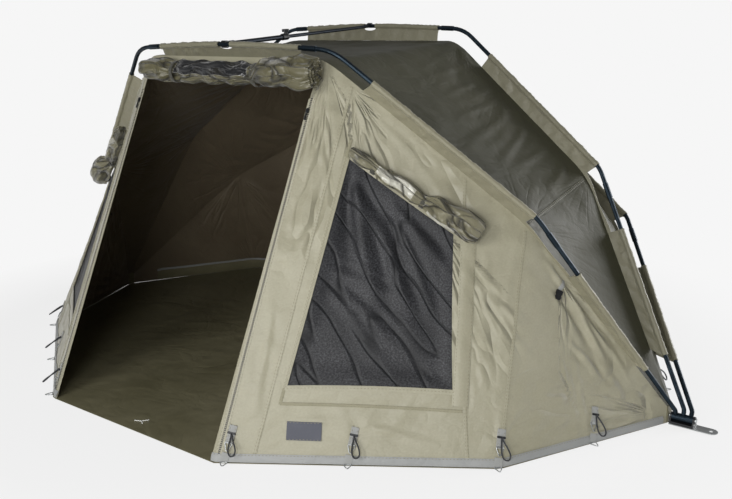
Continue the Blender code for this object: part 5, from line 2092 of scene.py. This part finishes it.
@dataclass
class PoleSleeves:
    """Cloth tunnels round the poles, each on a standing flange that is sewn to the shell."""

    tunnel_radius: float = 0.0102
    wall: float = 0.0009
    crown_half: float = 0.345
    clip_gap: float = 0.030
    clip_dip: float = 0.011
    girth: float = 0.055
    corner_to_sleeve: float = 0.165
    sleeve_to_elbow: float = 0.012
    elbow_to_sleeve: float = 0.235
    sleeve_to_hub: float = 0.215
    link_height: float = 0.013
    cell: float = 0.010
    pole_clearance: float = 0.0005
    seam_clearance: float = 0.0006

    def keyhole(self, name: str, rib: Rib, pole: Points, inward: Points, seam: Points, seed: int) -> bpy.types.Mesh:
        """A tunnel with its flange along one stretch.

        Args:
            name: the mesh's name.
            rib: the rib it belongs to.
            pole: the pole's centre line in the rib's plane, (n, 2).
            inward: the direction to the shell at each of those points.
            seam: the matching places on the shell's seam.
            seed: for the ripples.

        Returns:
            The closed mesh.
        """
        rng = np.random.default_rng(seed)
        count = len(pole)
        run = running_length(pole)
        ripple = sum(
            rng.uniform(0.3, 1.0) * np.sin(run / rng.uniform(0.03, 0.12) * 2 * math.pi + rng.uniform(0, ROUGH_TURN))
            for _ in range(6)
        )
        neck = pole + inward * self.tunnel_radius * 1.02
        flanges = []
        for face in (1, -1):
            flange = []
            for level in np.linspace(0.0, 1.0, 9):
                sway = 0.0016 * ripple * math.sin(math.pi * level)
                sway = sway + 0.0004 * np.sin(run / 0.011 * 2 * math.pi) * level
                half = self.wall * 0.95 + 0.0048 * max(level - 0.75, 0.0)
                flange.append(rib.world(seam + (neck - seam) * level, sway + face * half))
            flanges.append(flange)
        swell = self.tunnel_radius * (1.0 + 0.07 * np.sin(run / 0.021 * 2 * math.pi + 1.0) + 0.05 * ripple)
        rings = []
        for radius in (swell, np.full(count, rib.pole_radius + self.pole_clearance)):
            ring = []
            for angle in np.radians(np.linspace(-76, 256, 19)):
                outward = inward * -math.sin(angle)
                ring.append(rib.world(pole + outward * radius[:, None], np.cos(angle) * radius))
            rings.append(ring)
        loop = np.stack(flanges[0] + rings[0] + flanges[1][::-1], axis=1)
        bore = np.stack(rings[1], axis=1)
        tunnel = np.arange(loop[..., 0].size).reshape(loop.shape[:2])
        hole = tunnel.size + np.arange(bore[..., 0].size).reshape(bore.shape[:2])
        faces = [quads(tunnel, (1,)), np.roll(quads(hole, (1,))[:, ::-1], 1, axis=1)]
        for end, way in ((0, 1), (-1, -1)):
            faces.append(self.end_caps(tunnel[end], hole[end], len(flanges[0]))[:, ::way])
        bore_girth = np.linspace(0, 0.05, bore.shape[1])
        uv = np.concatenate([flat_places(run, running_length(loop[count // 2])), flat_places(run, bore_girth)])
        vertices = np.concatenate([loop.reshape(-1, 3), bore.reshape(-1, 3)])
        return outward_faces(mesh_from_arrays(name, vertices, np.concatenate(faces), None, uv))

    @staticmethod
    def end_caps(rim: Points, hole: Points, flange: int) -> Points:
        """Closes one end: across the flange, and round between the tunnel's outside and its bore.

        Args:
            rim: the point numbers round the outside.
            hole: those round the bore.
            flange: how many of the outer ones run up each face of the flange.

        Returns:
            The faces.
        """
        wide, bore = len(rim), len(hole)
        k = np.arange(flange - 1)
        across = np.stack([rim[k], rim[wide - 1 - k], rim[wide - 2 - k], rim[k + 1]], axis=1)
        k = np.arange(bore - 1)
        around = np.stack([rim[flange + k], hole[k], hole[k + 1], rim[flange + k + 1]], axis=1)
        neck = [
            (rim[flange - 1], rim[wide - flange], rim[wide - flange - 1], rim[flange]),
            (rim[flange], rim[flange + bore - 1], hole[bore - 1], hole[0]),
        ]
        return np.concatenate([across, around, np.array(neck)])

    def flange_plate(self, name: str, rib: Rib, top: Points, seam: Points) -> bpy.types.Mesh:
        """A low doubled flange between the seam and a top line.

        Args:
            name: the mesh's name.
            rib: the rib.
            top: its top line in the rib's plane.
            seam: its seam in the rib's plane.

        Returns:
            The closed mesh.
        """
        levels = np.linspace(0.0, 1.0, 4)
        points = np.stack([rib.world(seam + (top - seam) * level) for level in levels], axis=0)
        grid = ClothGrid(np.arange(len(seam), dtype=float), levels, points, np.ones((3, len(seam) - 1), bool))
        return grid.mesh(name, 2 * self.wall)

    def crown(self, rib: Rib, clip: bool) -> None:
        """Makes one crown sleeve: one tunnel, or two with a low flange between them where the bar is clipped on.

        Args:
            rib: the rib.
            clip: whether the bar is clipped on it.
        """
        meshes = []
        gap = self.clip_gap if clip else 0.0
        seam_height = rib.seam_corners[0][1] + self.seam_clearance
        half_count = int((self.crown_half - gap) / self.cell) + 1
        for side in (1, -1) if clip else (0,):
            start, steps = (gap, half_count) if side else (-self.crown_half, 2 * half_count)
            distances = np.linspace(start, self.crown_half, steps)
            pole, inward = rib.pole_at(np.abs(distances))
            mirror = np.full(steps, float(side)) if side else np.where(distances < 0, -1.0, 1.0)
            mirror = np.stack([mirror, np.ones_like(mirror)], axis=1)
            pole, inward = pole * mirror, inward * mirror
            inward[np.abs(distances) < 1e-6] = (0.0, -1.0)
            seam = np.stack([pole[:, 0], np.full(steps, seam_height)], axis=1)
            meshes.append(self.keyhole("crown", rib, pole, inward, seam, 700 + side))
        if clip:
            across = np.linspace(-gap, gap, 13)
            dip = self.clip_dip * np.sqrt(np.clip(1.0 - (across / gap) ** 2 * 0.85, 0, 1))
            top = np.stack([across, rib.path[0][1] - 0.008 - dip], axis=1)
            seam = np.stack([across, np.full_like(across, seam_height)], axis=1)
            meshes.append(self.flange_plate("crown_gap", rib, top, seam))
        name = f"{rib.name}_crown_sleeve"
        mesh = join_meshes(f"{name}_cloth", meshes)
        obj = add_piece(f"{name}_cloth", mesh, (Finish.SLEEVE,) * 2, Hang(f"{rib.name}_rib"), [name])

    def side(self, rib: Rib, side: int, side_name: str) -> None:
        """Makes one shoulder and leg sleeve, joined by the low flange round the bare elbow.

        Args:
            rib: the rib.
            side: -1 for left and 1 for right.
            side_name: the side's name.
        """
        spans = (
            (rib.corner_distance + self.corner_to_sleeve, rib.elbow_distance - self.sleeve_to_elbow, 1.0),
            (rib.elbow_distance + self.elbow_to_sleeve, rib.length - self.sleeve_to_hub, 2.0),
        )
        starts = (rib.corner_distance, rib.elbow_distance)
        lengths = (rib.elbow_distance - rib.corner_distance, rib.length - rib.elbow_distance)
        mirror = np.array([float(side), 1.0])
        meshes, ends, declared = [], [], 0.0
        for number, ((start, end, knot), origin, length) in enumerate(zip(spans, starts, lengths)):
            distances = np.linspace(start, end, int((end - start) / self.cell) + 1)
            pole, inward = rib.pole_at(distances)
            seam = rib.seam_flat(knot + (distances - origin) / length)
            meshes.append(self.keyhole("side", rib, pole * mirror, inward * mirror, seam * mirror, 710 + number + side))
            ends.append(knot + (np.array([start, end]) - origin) / length)
            declared += (end - start) * (float(np.linalg.norm(pole - seam, axis=1).mean()) + 0.05)
        places = np.linspace(ends[0][1], ends[1][0], 34)
        seam = rib.seam_flat(places)
        step = unit(np.gradient(seam, axis=0))
        outward = np.stack([-step[:, 1], step[:, 0]], axis=1)
        rise = self.link_height * (0.75 + 0.25 * np.cos(np.linspace(0, 2 * math.pi, 34)))
        top = seam + outward * rise[:, None]
        meshes.append(self.flange_plate("link", rib, top * mirror, seam * mirror))
        name = f"{rib.name}_sleeve_{side_name}"
        cloth = Finish.FRONT_SLEEVE if rib is FRONT else Finish.SLEEVE
        mesh = join_meshes(f"{name}_cloth", meshes)
        obj = add_piece(f"{name}_cloth", mesh, (cloth,) * 2, Hang(f"{rib.name}_rib"), [name])

    def build(self) -> None:
        """Makes all nine sleeves."""
        for rib in (FRONT, MIDDLE, REAR):
            self.crown(rib, rib is not REAR)
            for side, side_name in SIDES:
                self.side(rib, side, side_name)


@dataclass
class ClothRoll:
    """A cover rolled up along a line and held by ties."""

    name: str
    start: Points
    end: Points
    outward: Points
    radii: Sequence[Pair]
    ties: Sequence[float]
    hang: Hang
    node: str
    seed: int
    finish: Finish
    sag: float
    layers: Sequence[tuple[float, float, float, float, float]]
    turns: float = 3.5
    around: int = 84
    step: float = 0.0055
    cap_levels: int = 15
    tie_width: float = 0.016
    tie_thickness: float = 0.0018
    tie_slack: float = 1.05

    @cached_property
    def length(self) -> float:
        """Its length."""
        return float(np.linalg.norm(self.end - self.start))

    @cached_property
    def axes(self) -> tuple[Points, Points]:
        """The directions along it and across its front."""
        direction = unit(self.end - self.start)
        return direction, unit(np.cross(direction, self.outward))

    def radius_at(self, shares: Points | float) -> Points:
        """The even roll's radius at shares of its length."""
        return np.interp(shares, *zip(*self.radii))

    def line(self, shares: Points) -> Points:
        """Places on its hanging middle line."""
        drop = self.sag * 4 * shares * (1 - shares)
        return self.start + (self.end - self.start) * shares[:, None] - UP * drop[:, None]

    def lumps(self, s: Points, t: Points) -> Points:
        """Soft lumps along the roll, and pleats near its ties.

        Args:
            s: each point's share of the length.
            t: each point's angle.

        Returns:
            How far each point stands out, about -1 to 1.
        """
        rng = np.random.default_rng(self.seed)
        gather = sum(np.exp(-(((s - tie) * self.length / 0.03) ** 2)) for tie in self.ties)
        lumps = np.zeros_like(s)
        for number in range(15):
            pleat = number > 7
            k = rng.integers(6, 11) if pleat else rng.integers(1, 5)
            twist = rng.uniform(-1.2, 1.2)
            wander = rng.uniform(0.3, 1.0) * np.sin(
                s * self.length / rng.uniform(0.16, 0.5) * ROUGH_TURN + rng.uniform(0, ROUGH_TURN)
            )
            wave = np.sin(k * t + twist * s * ROUGH_TURN + wander + rng.uniform(0, ROUGH_TURN))
            sharp = 1.0 - 2.0 * np.sqrt(wave * wave + 0.01)
            lumps += rng.uniform(0.4, 1.0) * sharp / math.sqrt(k) * (gather + 0.12 if pleat else 1.0)
        return lumps / 2.6

    def mesh(self) -> bpy.types.Mesh:
        """The crumpled roll with a spiral at each end."""
        direction, upward = self.axes
        share = np.linspace(0.0, 1.0, int(self.length / self.step))
        kernel = np.hanning(9)
        base = np.convolve(np.pad(self.radius_at(share), 4, mode="edge"), kernel / kernel.sum(), mode="valid")
        theta = np.linspace(0, 2 * math.pi, self.around, endpoint=False)
        s, t = np.meshgrid(share, theta, indexing="ij")
        edge = ((t - 0.8 + 0.25 * np.sin(s * 9.0)) / (2 * math.pi)) % 1.0
        radius = base[:, None] * (1.0 + 0.22 * self.lumps(s, t)) + 0.007 * (edge - 0.5)
        radius = radius * (1.0 - 0.10 * (np.cos(t) < -0.75))
        wobble = 0.003 * np.sin(share * self.length / 0.11 * ROUGH_TURN)
        centre = self.line(share) + upward * wobble[:, None] - self.outward * (base.max() - base)[:, None]
        ring = np.cos(t)[..., None] * self.outward + np.sin(t)[..., None] * upward
        body = centre[:, None, :] + ring * radius[..., None]
        caps = []
        for end, sign in ((0, -1.0), (-1, 1.0)):
            layers = []
            for level in np.linspace(0.94, 0.06, self.cap_levels):
                curl = np.cos(2 * math.pi * self.turns * level - sign * theta)
                depth = sign * (0.010 * (1 - level) ** 0.5 + 0.0055 * curl * (1 - 0.3 * level) - 0.004 * (1 - level))
                layers.append(centre[end] + ring[end] * (radius[end] * level)[:, None] + direction * depth[:, None])
            caps.append(layers)
        rows = np.array(caps[0][::-1] + list(body) + caps[1])
        index = np.arange(rows[..., 0].size).reshape(rows.shape[:2])
        first, last = index[0], index[-1]
        here = np.arange(0, self.around, 2)
        beside, beyond = (here + 1) % self.around, (here + 2) % self.around
        tip = np.full_like(here, index.size)
        start_tip = np.stack([first[here], tip, first[beyond], first[beside]], axis=1)
        end_tip = np.stack([last[here], last[beside], last[beyond], tip + 1], axis=1)
        run = np.concatenate([[0.0] * self.cap_levels, share * self.length, [self.length] * self.cap_levels])
        uv = np.concatenate([flat_places(run, theta * float(base.mean())), [[0.0, 0.0], [self.length, 0.0]]])
        vertices = np.concatenate([rows.reshape(-1, 3), [rows[0].mean(axis=0), rows[-1].mean(axis=0)]])
        faces = np.concatenate([quads(index, (1,)), start_tip, end_tip])
        mesh = mesh_from_arrays(self.name, vertices, faces, None, uv)
        layer = np.zeros_like(s)
        for start, end, low, high, value in self.layers:
            layer[(s > start) & (s < end) & (((np.degrees(t) - low) % 360) < (high - low))] = value
        layer = np.pad(layer, ((self.cap_levels, self.cap_levels), (0, 0)), mode="edge")
        set_attribute(mesh, "layer", np.concatenate([layer.ravel(), [0.0, 0.0]])[: len(mesh.vertices)])
        return outward_faces(mesh)

    def build(self) -> None:
        """Makes the roll and its ties."""
        obj = add_piece(self.name, self.mesh(), (self.finish,), self.hang, [self.node])
        direction, upward = self.axes
        straps = []
        for tie in self.ties:
            radius = float(self.radius_at(tie)) * self.tie_slack + 0.001
            back = max(size for _, size in self.radii) - radius / self.tie_slack
            angles = np.linspace(0, 2 * math.pi, 40, endpoint=False)
            spokes = np.cos(angles)[:, None] * self.outward + np.sin(angles)[:, None] * upward
            loop = self.line(np.array([tie])) - self.outward * back + spokes * radius
            straps.append(strap_loop(loop, direction, self.tie_width, self.tie_thickness))
        mesh = join_meshes(f"{self.name}_ties", straps)
        add_piece(f"{self.name}_ties", mesh, (Finish.DARK_STRAP,), self.hang)


def strap_loop(loop: Points, across: Points, width: float, thickness: float) -> bpy.types.Mesh:
    """A flat strap along a closed loop.

    Args:
        loop: its centre line.
        across: the direction of its width.
        width: in metres.
        thickness: in metres.

    Returns:
        The closed mesh.
    """
    outward = unit(loop - loop.mean(axis=0))
    corners = [
        loop + across * side * width / 2 + outward * level * thickness / 2
        for side, level in ((-1, 0), (-0.8, 1), (0.8, 1), (1, 0), (0.8, -0.4), (-0.8, -0.4))
    ]
    index = np.arange(len(loop) * len(corners)).reshape(len(loop), len(corners))
    run = running_length(np.vstack([loop, loop[:1]]))[:-1]
    uv = flat_places(run, np.linspace(0, width, len(corners)))
    vertices = np.stack(corners, axis=1).reshape(-1, 3)
    return outward_faces(mesh_from_arrays("strap", vertices, quads(index, (1, 0)), None, uv))


@dataclass
class Rolls:
    """The rolled door above the doorway and the rolled window covers.

    A profile gives the radius at shares of the length, as a share of the largest one.
    """

    door_radius: float = 0.060
    window_radius: float = 0.048
    door_profile: Sequence[Pair] = (
        (0, 0.66), (0.03, 0.8), (0.14, 0.82), (0.2, 0.6), (0.27, 0.72), (0.62, 0.74), (0.69, 0.62), (0.76, 0.97),
        (0.95, 1.0), (1, 0.85),
    )
    window_profile: Sequence[Pair] = (
        (0, 0.36), (0.04, 0.5), (0.13, 0.54), (0.18, 0.36), (0.26, 0.6), (0.5, 0.62), (0.57, 0.42), (0.66, 0.84),
        (0.82, 1.0), (0.97, 1.0), (1, 0.8),
    )
    door_layers: Sequence[tuple] = (
        (0.21, 0.67, -120, 34, 1.0), (0.02, 0.12, 300, 350, 0.5), (0.76, 0.9, 285, 350, 0.5),
    )
    window_layers: Sequence[tuple] = ((0.2, 0.5, -30, 40, 0.55), (0.62, 0.85, 60, 140, 0.5))

    def line(self, rows: Sequence[tuple[Points, Points]], shares: Pair, height: float, radius: float) -> tuple:
        """The centre line of a roll that lies on a wall, and the outward direction there.

        Args:
            rows: the wall's low and high left and right corners.
            shares: where along the wall the roll starts and ends.
            height: how far up the wall it lies, as a share.
            radius: the roll's largest radius.

        Returns:
            The start, the end and the outward direction.
        """
        (low_left, low_right), (high_left, high_right) = rows
        outward = unit(np.cross(low_right - low_left, high_left - low_left))
        left = low_left + (high_left - low_left) * height
        right = low_right + (high_right - low_right) * height
        ends = [left + (right - left) * share + outward * radius for share in shares]
        return ends[0], ends[1], outward

    def build(self) -> None:
        """Makes the three rolls where the CAD rolls lie."""
        walls = (FRONT_GROUND, FRONT.seam)
        corners = [edge.raw(np.array([-1.0, 1.0])) for edge in walls]
        start, end, outward = self.line(corners, (0.07, 1.025), 0.946, self.door_radius)
        radii = [(share, self.door_radius * size) for share, size in self.door_profile]
        ClothRoll(
            "door_roll_cloth", start, end, outward, radii, (0.2, 0.69), ON_FRONT_WALL, "door_roll", 801,
            Finish.DOOR_ROLL, 0.006, self.door_layers,
        ).build()
        corners = [edge.raw(np.array([1.0, 2.0])) for edge in walls]
        ends = self.line(corners, (0.215, 0.795), 0.833, self.window_radius)
        radii = [(share, self.window_radius * size) for share, size in self.window_profile]
        for side, name in SIDES:
            start, end, outward = (vector * np.array([float(side), 1.0, 1.0]) for vector in ends)
            ClothRoll(
                f"window_roll_cloth_{name}", start, end, outward, radii, (0.18, 0.57), FRONT_SHELL,
                f"window_roll_{name}", 810 + side, Finish.COVER_ROLL, 0.01, self.window_layers,
            ).build()


@dataclass
class Groundsheet:
    """The floor: one laminated sheet with packing creases."""

    thickness: float = 0.0016
    rings: int = 74
    cell: float = 0.022
    flat_size: Pair = (2.92, 2.30)
    corners: Sequence[Pair] = ((0.425, -1.165), (1.155, -0.660), (1.454, 0.0), (1.165, 0.650), (0.450, 1.120))
    mark_start: Pair = (0.001, -1.108)
    mark_ends: Sequence[Pair] = ((-0.022, -1.118), (0.016, -1.086), (0.020, -1.118))
    mark_height: float = 0.0034
    mark_radius: float = 0.0016

    def outline(self) -> Points:
        """The ten corners, joined by straight runs of small steps."""
        corners = np.array([*self.corners, *((-x, y) for x, y in reversed(self.corners))])
        corners = corners + unit(corners) * 0.004
        closed = np.vstack([corners, corners[:1]])
        length = float(running_length(closed)[-1])
        return at_lengths(closed, np.linspace(0, length, int(length / self.cell) + 1))

    def creases(self, flat: Points) -> Points:
        """How far the packing creases stand up at each flat place, in metres.

        Args:
            flat: the flat places.

        Returns:
            The heights.
        """
        rng = np.random.default_rng(41)
        height = np.zeros(flat.shape[:2])
        for _ in range(34):
            angle, phase = rng.uniform(0, math.pi), rng.uniform(0, ROUGH_TURN)
            heading = np.array([math.cos(angle), math.sin(angle)])
            length = rng.uniform(0.18, 0.7)
            side = np.array([-heading[1], heading[0]])
            bend = 0.8 * np.sin(flat @ side / rng.uniform(0.3, 0.8) * ROUGH_TURN)
            wave = np.abs(np.sin(flat @ heading / length * math.pi + phase + bend))
            height += (1.0 - wave) ** 6 * rng.uniform(0.2, 1)
        return 0.0009 * height

    def build(self) -> None:
        """Makes the sheet."""
        rim = self.outline()
        levels = np.linspace(0.0, 1.0, self.rings) ** 0.8
        levels[0] = 0.004
        flat = levels[:, None, None] * rim[None]
        height = self.creases(flat) * (1 - levels[:, None] ** 12)
        points = np.concatenate([flat, (self.thickness / 2 + np.abs(height))[..., None]], axis=-1)
        top = points + UP * self.thickness / 2
        under = points - UP * self.thickness / 2
        under[..., 2] = np.maximum(under[..., 2], 0.0)
        index = np.arange(height.size).reshape(height.shape)
        cells = quads(index)
        rims = [quads(np.stack([edge, edge + index.size]))[:, ::-1] for edge in (index[-1], index[0, ::-1])]
        faces = np.concatenate([cells[:, ::-1], cells + index.size, *rims])
        uv = np.concatenate([flat.reshape(-1, 2)] * 2)
        mesh = mesh_from_arrays("ground", np.concatenate([top.reshape(-1, 3), under.reshape(-1, 3)]), faces, None, uv)
        self.weld(mesh)
        outward_faces(mesh)
        obj = add_piece("groundsheet_cloth", mesh, (Finish.GROUND,), ON_GROUND, ["groundsheet"])
        ends = [np.array([(*place, self.mark_height) for place in (self.mark_start, end)]) for end in self.mark_ends]
        marks = join_meshes("groundsheet_tack", [tube(line, self.mark_radius) for line in ends])
        mark = add_piece("groundsheet_tack", marks, (Finish.PALE_STRAP,), ON_GROUND)

    @staticmethod
    def weld(mesh: bpy.types.Mesh) -> None:
        """Joins the seam where the rings close.

        Args:
            mesh: the groundsheet's mesh.
        """
        bm = bmesh.new()
        bm.from_mesh(mesh)
        bmesh.ops.remove_doubles(bm, verts=bm.verts, dist=1e-5)
        bm.to_mesh(mesh)
        bm.free()


def dress_frame() -> None:
    """Gives the CAD poles, hubs, bar and sliders their finishes."""
    finishes = {
        "pole": Finish.POLE,
        "leg": Finish.POLE,
        "tension_bar_tube": Finish.BAR,
        "tension_bar_rod": Finish.BAR,
        "tension_bar": Finish.NYLON,
        "hub_block": Finish.NYLON,
        "hub_pin": Finish.STEEL,
        "peg_plate": Finish.STEEL,
        "zip_slider": Finish.NYLON,
    }
    for name, node in frame["nodes"].items():
        for key, finish in finishes.items():
            if key in name:
                for place in node.material_slots:
                    place.material = finish.made
                break


@dataclass
class Studio:
    """A pale floor, soft lamps and the camera."""

    place: Triple = (2.344, -2.907, 1.298)
    yaw: float = 37.22
    pitch: float = 13.51
    lens: float = 43.7
    backdrop: str = "#F6F6F6"
    floor_reach: float = 40.0
    lamps: Sequence[tuple[str, Triple, float, float]] = (
        ("key_lamp", (0.4, -5.2, 2.0), 1.6, 90.0),
        ("door_lamp", (2.5, -4.6, 1.5), 1.2, 84.0),
        ("side_lamp", (3.3, 4.2, 1.9), 3.2, 250.0),
        ("top_lamp", (-0.6, -2.4, 5.0), 3.0, 6.0),
    )

    @staticmethod
    def aimed(name: str, data: Any, place: Triple, look: Vector) -> bpy.types.Object:
        """A camera or a lamp at a place, looking along a direction.

        Args:
            name: the object's name.
            data: the camera or lamp.
            place: in metres.
            look: the direction.

        Returns:
            The object.
        """
        obj = link_object(name, data)
        obj.location = place
        obj.rotation_mode = "QUATERNION"
        obj.rotation_quaternion = look.to_track_quat("-Z", "Y")
        return obj

    def camera(self) -> None:
        """The camera at the photograph's angle."""
        data = bpy.data.cameras.new("camera")
        data.lens = self.lens
        yaw, pitch = math.radians(self.yaw), math.radians(self.pitch)
        look = Vector((-math.sin(yaw) * math.cos(pitch), math.cos(yaw) * math.cos(pitch), -math.sin(pitch)))
        bpy.context.scene.camera = self.aimed("camera", data, self.place, look)

    @staticmethod
    def seen_by(tree: Any, *rays: str) -> Any:
        """What is 1 for some kinds of light ray and 0 for the others.

        Args:
            tree: the material's or the world's nodes.
            rays: names of the light path's outputs.

        Returns:
            The last node's output.
        """
        path = add_node(tree, "LightPath").outputs
        seen = path[rays[0]]
        for ray in rays[1:]:
            seen = add_node(tree, "Math", {0: seen, 1: path[ray]}, operation="MAXIMUM")
        return seen

    def floor(self) -> None:
        """A wide pale floor that fades into the backdrop and keeps the tent's shadow."""
        reach = self.floor_reach
        mesh = bpy.data.meshes.new("floor")
        corners = [(-reach, -reach, 0), (reach, -reach, 0), (reach, reach, 0), (-reach, reach, 0)]
        mesh.from_pydata(corners, [], [(0, 1, 2, 3)])
        material = bpy.data.materials.new("floor_painted")
        material.use_nodes = True
        tree = material.node_tree
        tree.nodes.clear()
        paint = add_node(tree, "BsdfPrincipled", {"Base Color": "#F1F1F1", "Roughness": 0.9, "Specular IOR Level": 0.1})
        place = add_node(tree, "TexCoord").outputs["Object"]
        distance = add_node(tree, "VectorMath", {0: place}, operation="LENGTH")
        faded = add_node(tree, "MapRange", {0: distance, 1: 1.6, 2: 2.3, 3: 0.86, 4: 1.0})
        seen = self.seen_by(tree, "Is Camera Ray", "Is Glossy Ray", "Is Transmission Ray")
        share = add_node(tree, "Math", {0: seen, 1: faded}, operation="MULTIPLY")
        glow = add_node(tree, "Emission", {"Color": self.backdrop, "Strength": 1.0})
        add_node(tree, "OutputMaterial", {"Surface": add_node(tree, "MixShader", {0: share, 1: paint, 2: glow})})
        mesh.materials.append(material)
        floor = link_object("floor", mesh)
        floor.location.z = -0.0015

    def lamp(self, name: str, place: Triple, size: float, watts: float) -> None:
        """A square soft lamp that faces the tent's middle.

        Args:
            name: the lamp's name.
            place: in metres.
            size: of its side, in metres.
            watts: its power.
        """
        data = bpy.data.lights.new(name, "AREA")
        data.size = size
        data.energy = watts
        self.aimed(name, data, place, Vector((0.0, 0.0, 0.5)) - Vector(place))

    def world(self, strength: float) -> None:
        """A grey sky for light, seen as the pale backdrop.

        Args:
            strength: of the grey sky.
        """
        world = bpy.data.worlds.new("studio")
        world.use_nodes = True
        tree = world.node_tree
        tree.nodes.clear()
        dim = add_node(tree, "Background", {"Color": (1, 1, 1, 1), "Strength": strength})
        bright = add_node(tree, "Background", {"Color": self.backdrop, "Strength": 1.0})
        seen = self.seen_by(tree, "Is Camera Ray", "Is Transmission Ray")
        add_node(tree, "OutputWorld", {"Surface": add_node(tree, "MixShader", {0: seen, 1: dim, 2: bright})})
        bpy.context.scene.world = world

    def build(self) -> None:
        """Sets the whole studio up."""
        bpy.context.scene.view_settings.view_transform = "Standard"
        self.camera()
        self.floor()
        for lamp in self.lamps:
            self.lamp(*lamp)
        self.world(0.21)


def main() -> None:
    """Builds the studio and the tent, piece by piece."""
    logging.basicConfig(level=logging.INFO, format="%(name)s: %(message)s")
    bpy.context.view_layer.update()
    Studio().build()
    dress_frame()
    roofs = Canopy().build()
    shell = FrontShell()
    smooth, front = shell.build()
    rear = RearShell().build()
    WindowNets().build(smooth, shell)
    FrontTrim().build(front)
    RearTrim().build(rear)
    for roof in roofs:
        RoofTrim().build(roof)
    PegPoints().build(front, rear)
    PoleSleeves().build()
    Rolls().build()
    Groundsheet().build()
    for sheet in (*roofs, front, rear):
        sheet.declare()


if __name__ == "__main__":
    main()
